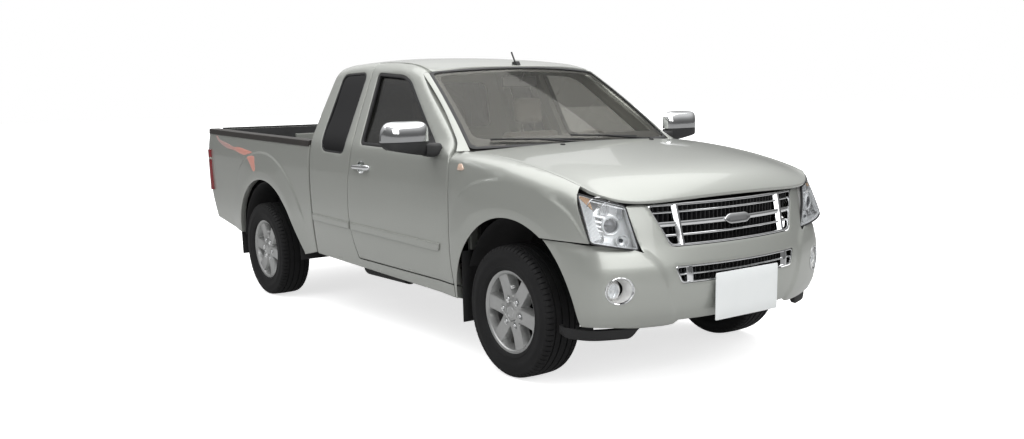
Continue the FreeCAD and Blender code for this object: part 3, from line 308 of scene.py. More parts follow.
def flare(x, z):
    """Swell of the side round a wheel opening, with a pressed crease round it and a band at its lip."""
    most = 0.0
    for (arch_x, radius), kept in ((front_arch, smooth((x - 1180) / 200)), (rear_arch, smooth((x + 1840) / 180))):
        away = math.hypot(x - arch_x, z - axle_z) - radius - crease_shift(arch_x, x)
        kept *= smooth((z - 560) / 120)
        soft = 1 - smooth(away / 190)
        creased = 7.5 * soft + 6.5 * (1 - smooth((away - 186) / 18)) - 4.5 * max(0.0, 1 - max(0.0, away) / 56)
        most = max(most, 13 * soft + (creased - 13 * soft) * kept)
    return most


def crease_points(arch):
    """Flat points along the creases round a wheel opening."""
    found = []
    for away in (28, 52, 56, 62, 182, 188, 195, 202, 208):
        for a in np.radians(np.arange(8, 173, 1.2)):
            reach = arch[1] + away
            for _ in range(3):
                reach = arch[1] + away + crease_shift(arch[0], arch[0] + reach * math.cos(a))
            found.append((arch[0] + reach * math.cos(a), axle_z + reach * math.sin(a)))
    return found


def cant_z(x):
    """Height of the side's upper edge."""
    if x > windshield_head[0]:
        return windshield_foot[2] + (windshield_foot[0] - x) / pillar_slope + 6
    return along(cant_line, x)


def roll_in(x, z):
    """Inward roll of the side near the roof edge."""
    if x > windshield_foot[0]:
        return 0.0
    top = cant_z(x)
    depth = max(8.0, min(60.0, 0.6 * (top - belt_z - lift(x))))
    u = max(0.0, min(1.0, 1 + (z - top) / depth))
    return 42 * depth / 60 * (1 - math.sqrt(1 - u * u))


def side_y(x, z):
    """Half width of the body at a station and height."""
    level = z - lift(x)
    if level < 790:
        y = 850 - 28 * ((790 - level) / 458) ** 2
    else:
        y = 850 - 24 * ((min(level, belt_z) - 790) / 284) ** 2 - 0.169 * max(0.0, level - belt_z)
        y -= 0.261 * knee(level - belt_z, 34)
    above = smooth((level - belt_z) / 90)
    pillar = max(0.0, (x - ahead(-1150)) / 550)
    nose = max(0.0, (x - ahead(-100)) / 650)
    tail = max(0.0, (rear_axle_x - x) / 1000)
    y -= 24 * above * pillar**2 + 34 * nose**2 + 14 * tail**2
    return y + flare(x, z) - roll_in(x, z)


def side_point(x, z):
    return (x, side_y(x, z), z)


def swept(points, step=14.0):
    """Open run of flat points on a smooth curve through the given ones, a step apart."""
    ends = [points[0]] + list(points) + [points[-1]]
    run = []
    for p, q, r, s in zip(ends, ends[1:], ends[2:], ends[3:]):
        count = max(1, round(math.dist(q, r) / step))
        for k in range(count):
            t = k / count
            run.append(tuple(0.5 * (2 * q[i] + (r[i] - p[i]) * t + (2 * p[i] - 5 * q[i] + 4 * r[i] - s[i]) * t * t
                                    + (3 * q[i] - p[i] - 3 * r[i] + s[i]) * t**3) for i in (0, 1)))
    return run + [tuple(points[-1])]


def joined(runs, soften=2, step=14.0):
    """Closed loop of runs, with its corners softened. A run of two points is straight."""
    loop = []
    for run in runs:
        loop += swept(run, step)[:-1]
    for _ in range(soften):
        loop = [tuple(0.25 * loop[i - 1][k] + 0.5 * loop[i][k] + 0.25 * loop[(i + 1) % len(loop)][k] for k in (0, 1))
                for i in range(len(loop))]
    return loop


def rounded(points, radius, step=14.0):
    """Closed loop of a polygon with round corners."""
    loop = []
    corners = []
    for i, here in enumerate(points):
        ends = []
        for other in (points[i - 1], points[(i + 1) % len(points)]):
            share = min(radius, 0.48 * math.dist(here, other)) / math.dist(here, other)
            ends.append([here[k] + share * (other[k] - here[k]) for k in (0, 1)])
        corners.append((ends[0], here, ends[1]))
    for i, (a, here, b) in enumerate(corners):
        count = max(3, round(math.dist(a, b) / step * 1.6))
        for j in range(count + 1):
            t = j / count
            loop.append(tuple((1 - t) ** 2 * a[k] + 2 * t * (1 - t) * here[k] + t * t * b[k] for k in (0, 1)))
        onward = corners[(i + 1) % len(corners)][0]
        count = max(1, round(math.dist(b, onward) / step))
        loop += [tuple(b[k] + (onward[k] - b[k]) * j / count for k in (0, 1)) for j in range(1, count)]
    return loop


def inset(loop, distance):
    """A loop moved to its left."""
    moved = []
    for i, (x, y) in enumerate(loop):
        (ax, ay), (bx, by) = loop[i - 1], loop[(i + 1) % len(loop)]
        length = math.hypot(bx - ax, by - ay) or 1.0
        moved.append((x - (by - ay) / length * distance, y + (bx - ax) / length * distance))
    return moved


def wound(loop, way):
    """A loop that goes counterclockwise for way 1 and clockwise for -1."""
    area = sum(a[0] * b[1] - b[0] * a[1] for a, b in zip(loop, loop[1:] + loop[:1]))
    return loop if area * way > 0 else loop[::-1]


def inside(points, loops):
    """Which flat points lie inside an odd number of loops."""
    points = np.array(points, float)
    odd = np.zeros(len(points), bool)
    for loop in loops:
        a = np.array(loop, float)
        b = np.roll(a, -1, 0)
        crosses = (a[:, 1] > points[:, None, 1]) != (b[:, 1] > points[:, None, 1])
        with np.errstate(divide="ignore", invalid="ignore"):
            at = a[:, 0] + (points[:, None, 1] - a[:, 1]) * (b[:, 0] - a[:, 0]) / (b[:, 1] - a[:, 1])
        odd ^= (np.sum(crosses & (points[:, None, 0] < at), 1) % 2).astype(bool)
    return odd


def pressed(surface, outer, holes=(), deep=2.4, inward=None, radius=1.8, grid=26.0, outward=(0, 1, 0), lines=None,
            extra=()):
    """Points and faces of a closed sheet laid on a surface, with round edges at its outline and its holes."""
    loops = [wound(outer, 1)] + [wound(hole, -1) for hole in holes]
    edges = [inset(loop, radius) for loop in loops]
    ring = np.array([p for edge in edges for p in edge], float)
    low, high = ring.min(0), ring.max(0)
    if lines is None:
        lines = [np.linspace(low[k], high[k], 2 + int((high[k] - low[k]) / grid)) for k in (0, 1)]
    mesh_points = [(x, y) for x in lines[0] for y in lines[1]]
    mesh_points = [p for p, keep in zip(mesh_points, inside(mesh_points, edges)) if keep]
    if mesh_points:
        flat = np.array(mesh_points, float)
        spacing = min(grid, 14.0) * 0.5
        near = np.array([np.min(np.hypot(*(ring - p).T)) for p in flat])
        mesh_points = [p for p, away in zip(mesh_points, near) if away > spacing]
    if len(extra):
        mesh_points += [p for p, keep in zip(extra, inside(extra, edges)) if keep]
    count = len(ring)
    flat = [tuple(p) for p in ring] + mesh_points
    borders, first = [], 0
    for edge in edges:
        borders += [(first + i, first + (i + 1) % len(edge)) for i in range(len(edge))]
        first += len(edge)
    made = geometry.delaunay_2d_cdt([Vector(p) for p in flat], borders, [], 0, 1e-5)
    at = {}
    for index, origins in enumerate(made[3]):
        for origin in origins:
            at[origin] = index
    flat = [tuple(p) for p in made[0]]
    triangles = [tuple(face) for face in made[2]]
    middles = [(sum(flat[i][0] for i in face) / 3, sum(flat[i][1] for i in face) / 3) for face in triangles]
    triangles = [face for face, keep in zip(triangles, inside(middles, edges)) if keep]

    def normal(u, v):
        a = Vector(surface(u + 1, v)) - Vector(surface(u - 1, v))
        b = Vector(surface(u, v + 1)) - Vector(surface(u, v - 1))
        return a.cross(b).normalized()

    centre = flat[triangles[len(triangles) // 2][0]]
    way = -1.0 if normal(*centre).dot(Vector(outward)) > 0 else 1.0

    def point(u, v, depth):
        if depth == 0:
            return surface(u, v)
        into = Vector(inward) if inward else normal(u, v) * way
        return tuple(Vector(surface(u, v)) + into * depth)

    points = [point(u, v, 0) for u, v in flat]
    behind = len(points)
    points += [point(u, v, deep) for u, v in flat]
    faces = triangles + [tuple(behind + i for i in reversed(face)) for face in triangles]
    first = 0
    for loop in loops:
        size = len(loop)
        rows = [[at[first + i] for i in range(size)]]
        for share, depth in ((0.29, 0.29 * radius), (0.0, radius), (0.0, deep - radius), (0.29, deep - 0.29 * radius)):
            rows.append(list(range(len(points), len(points) + size)))
            points += [point(u, v, depth) for u, v in inset(loop, share * radius)]
        rows.append([behind + i for i in rows[0]])
        for upper, lower in zip(rows, rows[1:]):
            for i in range(size):
                j = (i + 1) % size
                faces.append((upper[i], lower[i], lower[j], upper[j]))
        first += size
    return points, faces


def piece(name, points, faces, finish, body, sharp=40.0, tidy=True):
    """A named piece from points in millimetres, riding on a body."""
    mesh = bpy.data.meshes.new(name)
    mesh.from_pydata([(0.001 * x, 0.001 * y, 0.001 * z) for x, y, z in points], [], faces)
    if tidy:
        shell = bmesh.new()
        shell.from_mesh(mesh)
        bmesh.ops.remove_doubles(shell, verts=shell.verts, dist=2e-6)
        bmesh.ops.dissolve_degenerate(shell, edges=shell.edges, dist=1e-6)
        bmesh.ops.recalc_face_normals(shell, faces=shell.faces)
        shell.to_mesh(mesh)
        shell.free()
    mesh.shade_smooth()
    mesh.set_sharp_from_angle(angle=math.radians(sharp))
    mesh.materials.append(finish)
    made = bpy.data.objects.new(name, mesh)
    scene.collection.objects.link(made)
    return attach(made, body)


def pair(name, shape, finish, bodies=("chassis", "chassis"), stands_for=(), **options):
    """The same piece on the left and mirrored on the right."""
    points, faces = shape
    made = []
    for side, body, way in (("left", bodies[0], 1), ("right", bodies[1], -1)):
        copy = piece(name + "_" + side, [(x, way * y, z) for x, y, z in points], faces, finish, body, **options)
        if stands_for:
            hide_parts(*[node.replace("SIDE", side) for node in stands_for])
        made.append(copy)
    return made


def silver_paint():
    """Pale warm silver: fine flake under a clear coat, with a faint orange peel."""
    material, start = blank("silver_paint")
    place = start.node("TexCoord", output="Object")
    flake = start.node("TexVoronoi", output="Color", Vector=place, Scale=2600.0)
    sparkle = start.node("SeparateColor", Color=flake)
    peel = start.node("TexNoise", Vector=place, Scale=420.0, Detail=1.0)
    tone = start.node("ValToRGB", {"stops": [(0.0, (0.37, 0.382, 0.355)), (1.0, (0.45, 0.465, 0.432))]}, Fac=sparkle)
    bump = start.node("Bump", Strength=0.06, Distance=0.0002, Height=peel)
    return dress(material, Base_Color=tone, Metallic=0.45, Roughness=0.3 + sparkle * 0.12, Coat_Weight=0.6,
                 Coat_Roughness=0.03, Normal=bump)


paint = silver_paint()
front_line = [(0, 421), (-16, 560), (-22, 720), (-22, 900), (-34, 1080)]


def door_outline(gap):
    """The left door seen from the side, grown by a gap."""
    b = door_rear_x
    low = 1200
    front = [(door_front_x + back + gap, z - (gap if z < 500 else 0)) for back, z in front_line]
    pillar = windshield_head[0] - pillar_width + gap
    front.append((pillar + (windshield_head[2] - low) * pillar_slope, low))
    roof_at = pillar + 70
    up = [(x, cant_z(x) + (gap - 4)) for x in (roof_at, 540, 490, 420, 340, 240, 130, b - gap)]
    pillar_top = (pillar + (windshield_head[2] - 1460) * pillar_slope, 1460)
    front.append(pillar_top)
    front.append(up[1])
    rear = [up[-1], (b - gap, 1500), (b + 8 - gap, 1320), (b + 26 - gap, 1095), (b - 8 - gap, 880)]
    rear += [(b - 18 - gap, 700), (b + 4 - gap, 560), (b + 60 - gap, 441 - gap)]
    return joined([front, up[1:], rear, [rear[-1], front[0]]])


door_window = [(992, 1106), (482, 1500), (382, 1536), (62, 1560), (110, 1134)]
dish_x, dish_z, dish_wide, dish_high = 152.0, 1004.0, 48.0, 39.0


def ellipse(grow):
    """The handle's dish seen from the side, grown by a distance."""
    return [(dish_x + (dish_wide + grow) * math.cos(a), dish_z + (dish_high + grow) * math.sin(a))
            for a in np.linspace(0, math.tau, 44, endpoint=False)]


door_shape = pressed(side_point, door_outline(0), [rounded(door_window, 40), ellipse(-1)], deep=door_thickness,
                     inward=(0, -1, -slab_slope), radius=2.4, grid=24)
pair("door_skin", door_shape, paint, door_bodies, ["door_SIDE"])

# ---------------------------------------------------------------- Cab sides
# One stamping on each side makes the quarter panel, the pillar over the door and the sill. Its window is
# fixed, with a wide dark border. A hinge post and an apron rail behind the fender carry the door and fender.

quarter_window = [(-76, 1072), (-72, 1566), (-382, 1562), (-410, 1180), (-382, 1084)]
r = cab_rear_x
back_edge = [(r + 95, 1606), (r + 78, 1560), (r + 60, 1500), (r + 14, 1250), (r, 1120)]
roof_edge = [(x, cant_z(x) - 1) for x in (door_rear_x - shut_gap, -120, -240, -340, -400, -448)]
b = door_rear_x - shut_gap
jamb = [(b + 60, 441 - shut_gap), (b + 4, 560), (b - 18, 700), (b - 8, 880), (b + 26, 1095), (b + 8, 1320), (b, 1500),
        (b, cant_z(b) - 1)]
cab_outline = joined([roof_edge, [roof_edge[-1]] + back_edge[1:], [back_edge[-1], (r, 404)], [(r, 404), (1142, 347)],
                      [(1142, 347), (1142, 415)], [(1142, 415), jamb[0]], jamb])
cab_shape = pressed(side_point, cab_outline, [rounded(quarter_window, 60)], deep=door_thickness,
                    inward=(0, -1, -slab_slope), radius=2.4, grid=24)
pair("cab_side_skin", cab_shape, paint)


def quads(rows, size, round_row=True, last_to_first=False):
    """Faces between each row of points and the next."""
    faces = []
    for row in range(rows if last_to_first else rows - 1):
        onward = (row + 1) % rows * size
        for i in range(size if round_row else size - 1):
            j = (i + 1) % size
            faces.append((row * size + i, row * size + j, onward + j, onward + i))
    return faces


def slab(outline, y0, y1, bevel=2.0):
    """Points and faces of a flat plate in X and Z with beveled edges, as thick as from y0 to y1."""
    loop = wound(outline, 1)
    points, size = [], len(loop)
    for shrink, y in ((bevel, y1), (0, y1 - bevel), (0, y0 + bevel), (bevel, y0)):
        points += [(x, y, z) for x, z in inset(loop, shrink)]
    return points, quads(4, size) + [tuple(range(size)), tuple(range(3 * size, 4 * size))[::-1]]


def together(*shapes):
    """Several shapes as one."""
    points, faces = [], []
    for more_points, more_faces in shapes:
        faces += [tuple(i + len(points) for i in face) for face in more_faces]
        points += more_points
    return points, faces


def hood_side_drop(s):
    return 0.6 * s**1.2 + 0.4 * s**3


def hood_point(s, t):
    """Point of the hood: s goes from its rear edge to its lip, t from the middle to the side."""
    w = t * t
    rear, lip = ahead(-235) - 140 * w, ahead(737) - 78 * w - 112 * w**4
    middle = 0.55 * s**1.35 + 0.45 * s**12
    drop = middle + (hood_side_drop(s) - middle) * w * w
    return rear + (lip - rear) * s, 752 * t, 1152 - 30 * w + (-226 + 6 * w + 72 * w**4) * drop


hood_rear_side, hood_lip_side = hood_point(0, 1)[0], hood_point(1, 1)[0]


def hood_edge_z(x):
    """Height of the hood's side edge."""
    return 1122 - 148 * hood_side_drop(max(0.0, (x - hood_rear_side) / (hood_lip_side - hood_rear_side)))


post_x = door_front_x + 34
apron_end = ahead(430)
post_inner, post_outer = 700.4, 746.0
sill_box = slab(rounded([(-500, 380), (post_x, 380), (post_x, 470), (-500, 470)], 6), post_inner, post_outer)
post_box = slab(rounded([(post_x - 30, 468), (post_x, 468), (post_x, 990), (post_x - 30, 990)], 4), post_inner,
                post_outer)
post_top = slab(rounded([(post_x - 30, 988), (post_x, 988), (post_x, 1086), (post_x - 30, 1086)], 4), post_inner, 738.4)
apron_top = [(x, hood_edge_z(x) - 22) for x in np.linspace(post_x - 6, apron_end, 8)]
apron_loop = apron_top + [(apron_end, 800), (ahead(330), 850), (post_x, 940), (post_x - 6, 940)]
apron = slab(joined([apron_loop + apron_loop[:1]], soften=0, step=40), 740, 762)
posts = pair("hinge_post", together(sill_box, post_box, post_top, apron), paint)
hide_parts("cab_sides")

# ---------------------------------------------------------------- Fenders
# Thin pressed fenders, swollen round the wheel opening and rolled over at the top to meet the hood. They are
# bolted to the apron rails and painted like the doors.


def fender_point(x, v):
    """The side up to 86 below the hood's edge, and from there a round shoulder up to it."""
    top = hood_edge_z(x)
    low = top - 86
    if v <= low:
        return x, side_y(x, v), v
    t = min(1.15, (v - low) / 86)
    edge_y = 756 - 30 * max(0.0, (x - ahead(476)) / 200)
    at_low = side_y(x, low)
    y = (1 - t) ** 2 * at_low + 2 * t * (1 - t) * (at_low - 6) + t * t * edge_y
    return x, y, (1 - t) ** 2 * low + 2 * t * (1 - t) * (top - 18) + t * t * top


def arch_loop(centre_x, centre_z, radius, start, end, count=60):
    """Points round a wheel opening from one angle to another, in degrees."""
    turns = np.radians(np.linspace(start, end, count))
    return [(centre_x + radius * math.cos(a), centre_z + radius * math.sin(a)) for a in turns]


x = door_front_x + shut_gap
rear_line = swept([(x + back, z) for back, z in front_line] + [(x - 60, 1118)])
arch_x, arch_r = front_arch
arch_z = axle_z - 6
bumper_joint_z = 738.0
front_angle = math.degrees(math.asin((bumper_joint_z + shut_gap - arch_z) / arch_r))
lamp_edge = [(ahead(612), bumper_joint_z + shut_gap), (ahead(500), 968)]
top_line = [(a, hood_edge_z(a)) for a in np.linspace(ahead(488), x - 50, 60)]
fender_loop = [(x, 346)] + rear_line + [(x - 50, 1118)] + top_line[::-1]
fender_loop += swept([top_line[0], lamp_edge[1]])[1:] + swept([lamp_edge[1], lamp_edge[0]])[1:]
fender_loop += swept([lamp_edge[0], (arch_x + arch_r * math.cos(math.radians(front_angle)), lamp_edge[0][1])])[1:-1]
fender_loop += arch_loop(arch_x, arch_z, arch_r, front_angle, 178.4, 64)
fender_shape = pressed(fender_point, fender_loop, deep=3.0, radius=1.4, grid=22,
                       extra=[p for p in crease_points(front_arch) if p[1] < hood_edge_z(p[0]) - 90])
fenders = pair("fender_skin", fender_shape, paint)
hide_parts("fenders")

# ---------------------------------------------------------------- Bed
# Steel bed sides with swollen wheel openings. Black plastic caps run along their tops, a black moulded liner
# covers the bed inside, and the tailgate is one pressed steel panel hinged at its foot.

r = rear_x + 8
bed_top = [(a, 1050 + lift(a)) for a in np.linspace(bed_front_x, r + 22, 40)]
arch_x, arch_r = rear_arch
arch_step = [(arch_x + 300, 690), (arch_x + 425, 634), (arch_x + 600, 390), (arch_x + 603, 374)]
start_angle = math.degrees(math.acos(300 / arch_r))
tail_line = [(r + 20, bed_top[-1][1]), (r, 1000), (r + 14, 700), (r + 60, 505)]
skirt = [(r + 60, 505), (rear_axle_x - 420, 440)]
end_angle = 180 - math.degrees(math.asin((425 - axle_z) / arch_r))
arch_end = (arch_x + arch_r * math.cos(math.radians(end_angle)), axle_z + arch_r * math.sin(math.radians(end_angle)))
bed_loop = swept([(bed_front_x, 345 + lift(bed_front_x)), (bed_front_x, bed_top[0][1])])[:-1] + bed_top[:-1]
bed_loop += swept(tail_line)[:-1] + swept([skirt[0], arch_end])[:-1]
bed_loop += arch_loop(arch_x, axle_z, arch_r, end_angle, start_angle, 64)
bed_loop += swept([(arch_x + 300, axle_z + arch_r * math.sin(math.radians(start_angle)))] + arch_step[1:])[1:]
bed_loop = [p for i, p in enumerate(bed_loop) if math.dist(p, bed_loop[i - 1]) > 2.0]
bed_shape = pressed(side_point, bed_loop, deep=40.0, inward=(0, -1, 0), radius=2.2, grid=24,
                    extra=crease_points(rear_arch))
bed_skins = pair("bed_side_skin", bed_shape, paint)
post_y = 706.0


def block(low, high, bevel=3.0):
    """Points and faces of a box with beveled edges along Y."""
    loop = rounded([(low[0], low[2]), (high[0], low[2]), (high[0], high[2]), (low[0], high[2])], bevel, 400)
    return slab(loop, low[1], high[1], 1.0)


corner_post = together(block((r, post_y, 520), (r + 90, 790, 728)), block((r + 62, post_y, 728), (r + 90, 800, 1012)),
                       block((r, post_y, 1012), (r + 90, 800, 1118)))
rear_sill = block((rear_x + 12, -700, 520), (rear_x + 50, 700, 628), 6)
pair("bed_corner_post", corner_post, paint)
piece("bed_rear_sill", *rear_sill, paint, "chassis")
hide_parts("bed_sides")

# ---------------------------------------------------------------- Hood
# One wide pressed lid, domed across and dropping to a round lip over the grille. It is hinged at its rear edge
# and painted like the body.

hood_length, hood_half = 1010.0, 752.0


def hood_surface(u, v):
    return hood_point(min(1.0, max(0.0, u / hood_length)), v / hood_half)


hood_loop = rounded([(0, -hood_half), (hood_length, -hood_half), (hood_length, hood_half), (0, hood_half)], 12)
hood_lines = [hood_length * np.array([0, *np.linspace(0.03, 0.86, 30), *np.linspace(0.875, 0.998, 16)]),
              np.linspace(-hood_half, hood_half, 60)]
hood_shape = pressed(hood_surface, hood_loop, deep=14.0, inward=(-0.5, 0, -1), radius=3.0, grid=20,
                     outward=(0, 0, 1), lines=hood_lines)
hood_skin = piece("hood_skin", *hood_shape, paint, "hood")
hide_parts("hood")

# ---------------------------------------------------------------- Roof
# One pressed panel between the cab sides, crowned across, with a rolled rear edge. It is welded to the cab
# sides and painted with them.


def windshield_point(s, t, out=0.0):
    """Point of the windshield: s goes up, t across, out is away from the glass."""
    foot, head = windshield_foot, windshield_head
    bow = 1 - t * t
    swell = 56 * s * (1 - s) + out
    return (foot[0] + (head[0] - foot[0]) * s + (170 - 86 * s) * bow + 0.58 * swell,
            (foot[1] + (head[1] - foot[1]) * s) * t,
            foot[2] + (head[2] - foot[2]) * s + (8 + 18 * s) * bow + 0.81 * swell)


roof_line = [(-465, 1610), (-415, 1634), (-315, 1649), (-115, 1652), (88, 1645), (290, 1630), (490, 1604), (664, 1576)]
roof_length, roof_half = 1100.0, 760.0


def roof_surface(u, v):
    """The roof, from its front edge back in u and across in v."""
    s, t = u / roof_length, v / roof_half
    begin = windshield_point(1, t)[0] - 3.4
    x = begin + (cab_rear_x + 88 - begin) * s
    edge_x = min(x, windshield_head[0])
    edge_z = eased([(a, z) for a, z in cant_line], edge_x) if edge_x > -400 else cant_z(edge_x)
    edge_y = side_y(edge_x, cant_z(edge_x)) - 5
    rise = max(0.0, eased(roof_line, x) - edge_z)
    return x, edge_y * t, edge_z + rise * (1 - abs(t) ** 2.4)


roof_loop = rounded([(0, -roof_half), (roof_length, -roof_half), (roof_length, roof_half), (0, roof_half)], 14)
roof_shape = pressed(roof_surface, roof_loop, deep=20.0, inward=(0, 0, -1), radius=3.0, grid=26, outward=(0, 0, 1))
roof_skin = piece("roof_skin", *roof_shape, paint, "chassis")
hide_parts("roof_panel")

# ---------------------------------------------------------------- Windshield
# Laminated glass with a black printed border, between tapered steel pillars. It is bonded in from outside,
# with a black moulding round its edge.


def glass_finish(name, tint, shade, gloss=0.06, shine=0.45):
    """Tinted glass: clear for what is behind it, with a bright reflection at glancing angles."""
    material, start = blank(name)
    tree = material.node_tree
    shader = tree.nodes["Principled BSDF"]
    dress(material, Base_Color=(*shade, 1), Roughness=0.02, Metallic=1.0)
    through = tree.nodes.new("ShaderNodeBsdfTransparent")
    through.inputs["Color"].default_value = (*tint, 1)
    facing = start.node("Fresnel", IOR=1.5)
    smudge = start.node("TexNoise", Vector=start.node("TexCoord", output="Object"), Scale=3.0, Detail=3.0)
    share = facing * shine + gloss + smudge * 0.01
    share = share.maths("MINIMUM", share, 0.35)
    mix = tree.nodes.new("ShaderNodeMixShader")
    tree.links.new(share.out, mix.inputs[0])
    tree.links.new(through.outputs[0], mix.inputs[1])
    tree.links.new(shader.outputs[0], mix.inputs[2])
    tree.links.new(mix.outputs[0], tree.nodes["Material Output"].inputs[0])
    return material


clear_glass = glass_finish("tinted_glass", (0.93, 0.925, 0.9), (0.9, 0.9, 0.88), 0.0, 0.08)
door_glass = glass_finish("door_glass", (0.42, 0.42, 0.41), (0.9, 0.9, 0.9), 0.05)
dark_glass = glass_finish("privacy_glass", (0.05, 0.052, 0.058), (0.9, 0.9, 0.92), 0.05)


def rubber_finish(name, colour, roughness=0.55, grain=900.0):
    """Black rubber or moulded plastic with a fine grain."""
    material, start = blank(name)
    place = start.node("TexCoord", output="Object")
    noise = start.node("TexNoise", Vector=place, Scale=grain, Detail=2.0)
    dust = start.node("TexNoise", Vector=place, Scale=9.0, Detail=4.0)
    tone = start.node("ValToRGB", {"stops": [(0.3, colour), (0.8, tuple(c * 1.5 + 0.004 for c in colour))]}, Fac=dust)
    bump = start.node("Bump", Strength=0.25, Distance=0.0004, Height=noise)
    return dress(material, Base_Color=tone, Roughness=roughness + dust * 0.15, Normal=bump)


seal_rubber = rubber_finish("seal_rubber", (0.012, 0.012, 0.013), 0.4)
black_plastic = rubber_finish("black_plastic", (0.016, 0.016, 0.017), 0.5)


glass_rise, glass_half = 720.0, 650.0


def windshield_sheet(out=0.0):
    """The windshield laid flat, moved out of its face by a distance."""
    return lambda u, v: windshield_point(u / glass_rise, v / glass_half, out)


glass_loop = rounded([(4, -648), (716, -648), (716, 648), (4, 648)], 26)
glass_shape = pressed(windshield_sheet(), glass_loop, deep=5.0, radius=1.0, grid=40, outward=(1, 0, 1))
windshield = piece("windshield_glass", *glass_shape, clear_glass, "chassis")
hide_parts("windshield")
frit_hole = rounded([(84, -606), (676, -606), (676, 606), (84, 606)], 60)
frit_shape = pressed(windshield_sheet(-6.5), glass_loop, [frit_hole], deep=1.6, radius=0.4, grid=40, outward=(1, 0, 1))
piece("windshield_border", *frit_shape, seal_rubber, "chassis")
trim_hole = rounded([(20, -634), (702, -634), (702, 634), (20, 634)], 40)
trim_shape = pressed(windshield_sheet(1.2), rounded([(2, -650), (719, -650), (719, 650), (2, 650)], 30), [trim_hole],
                     deep=4.0, radius=1.2, grid=40, outward=(1, 0, 1))
piece("windshield_moulding", *trim_shape, seal_rubber, "chassis")


def pillar_section(s):
    """The front pillar between the glass and the door, at a share of its height."""
    x, y, z = windshield_point(s, 1.0)
    back = x - pillar_width + shut_gap
    outer = side_y(back, z) - 1
    front = x + 2
    nose_y = y + 3
    bulge = [(front - 1, nose_y), (front, nose_y + 3)]
    steps = [(front - (front - back) * k / 8, nose_y + 3 + (outer - nose_y - 3) * (1 - (1 - k / 8) ** 1.8))
             for k in range(1, 8)]
    inner = [(back + 1, outer), (back, outer - 2), (back, y + 2), (back + 12, y + 1)]
    return [(a, b, z) for a, b in bulge + steps + inner]


def skin_through(sections):
    """A closed skin through rings of points."""
    points = [p for ring in sections for p in ring]
    size = len(sections[0])
    ends = [tuple(range(size))[::-1], tuple(range(len(points) - size, len(points)))]
    return points, quads(len(sections), size) + ends


pillars = pair("windshield_pillar", skin_through([pillar_section(s) for s in np.linspace(-0.01, 1.0, 24)]), paint)
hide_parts("windshield_pillars")

# ---------------------------------------------------------------- Bumper
# A moulded cover in body colour that wraps the nose and rises beside the grille. The parts with the fog lamps
# stand proud of the middle by a rounded step.


def nose_reach(z):
    """How far the middle of the nose lies ahead of the front axle at a height."""
    line = [(260, -104), (300, -74), (400, -14), (530, 0), (615, -6), (701, -36), (830, -64), (930, -90)]
    return 823.8 + eased(line, z)


def nose_flank(z):
    """Half width of the nose at a height."""
    return eased([(260, 796), (300, 806), (400, 832), (530, 840), (740, 838), (930, 806), (990, 796)], z)


def nose_x(y, z):
    """Station of the nose's face."""
    return ahead(nose_reach(z) - 0.00031 * y * y - 156 * (abs(y) / nose_flank(z)) ** 32)


shares = [1 - (1 - k / 300) ** 2.2 for k in range(301)]
plan = [(nose_x(839 * share, 530), 839 * share) for share in shares]
lengths = [0.0]
for a, b in zip(plan, plan[1:]):
    lengths.append(lengths[-1] + math.dist(a, b))
nose_half = lengths[-1]


def nose_share(w):
    """Share of the half width at a length along the nose's plan."""
    i = min(299, max(0, bisect(lengths, w) - 1))
    return shares[i] + (shares[i + 1] - shares[i]) * (w - lengths[i]) / (lengths[i + 1] - lengths[i])


crease = [(300, 372), (380, 392), (450, 430), (560, 462), (640, 486), (676, 520), (700, 560), (800, 700)]


def pod(y, z):
    """How far the fog lamp part stands proud."""
    outer = smooth((abs(y) - eased(crease, z)) / 24)
    return 9 * outer * smooth((716 - z) / 22)


def nose_surface(w, z):
    """The nose by length along its plan, to the left positive, and height."""
    way = 1 if w >= 0 else -1
    w = abs(w)
    flank = nose_flank(z)
    if w <= nose_half:
        y = flank * nose_share(w)
        back = 0.0
    else:
        y, back = flank, w - nose_half
    x = nose_x(y, z) - back
    proud = pod(y, z) * (1 - smooth(back / 40))
    return x + proud, way * (y + 0.25 * proud * smooth(w / nose_half * 2 - 1)), z


def nose_w(y, z):
    """Length along the plan at a half width."""
    share = abs(y) / nose_flank(z)
    i = min(299, max(0, bisect(shares, share) - 1))
    w = lengths[i] + (lengths[i + 1] - lengths[i]) * (share - shares[i]) / (shares[i + 1] - shares[i])
    return w if y >= 0 else -w


def on_nose(loop):
    """A loop drawn from the front, laid along the nose's plan."""
    return [(nose_w(y, z), z) for y, z in loop]


def mirrored_loop(loop):
    return [(-a, b) for a, b in loop]


lower_grille = [(421, 615), (389, 531), (-389, 531), (-421, 615)]
fog_y, fog_z, fog_radius = 689.0, 522.0, 62.0
arch_x, arch_r = front_arch
arch_front = []
for z in np.linspace(372, 738, 16):
    x_arch = arch_x + math.sqrt(arch_r**2 - (z - arch_z) ** 2)
    back = nose_x(nose_flank(z), z) - x_arch
    arch_front.append((nose_half + back, z))
cover_loop = [(0, 352)] + swept([(0, 352), (300, 352), (385, 352)])[1:]
cover_loop += swept([(385, 352), (415, 336), (470, 330)])[1:]
cover_loop += [(a, 330 + 18 * smooth((a - 560) / 260)) for a in np.linspace(484, nose_half - 108, 30)]
cover_loop += swept([cover_loop[-1], arch_front[0]])[1:-1] + swept(arch_front)
top_right = [(nose_w(822, 738), 738), (nose_w(660, 716), 716), (nose_w(560, 688), 686)]
cover_loop += swept([arch_front[-1], top_right[0]])[1:] + swept(top_right)[1:]
cover_loop += swept([top_right[-1], (nose_w(590, 800), 800), (nose_w(611, 893), 893)])[1:]
top_edge = [(nose_w(y, 905), 900) for y in (596, 560, 534)]
cover_loop += top_edge
upper_side = rounded([(-524, 940), (-419, 701), (419, 701), (524, 940)], 22)
upper_side = [p for p in upper_side if p[1] < 897]
upper_side = sorted([p for p in upper_side if p[0] >= 0], key=lambda p: (-round(p[1]), -p[0]))
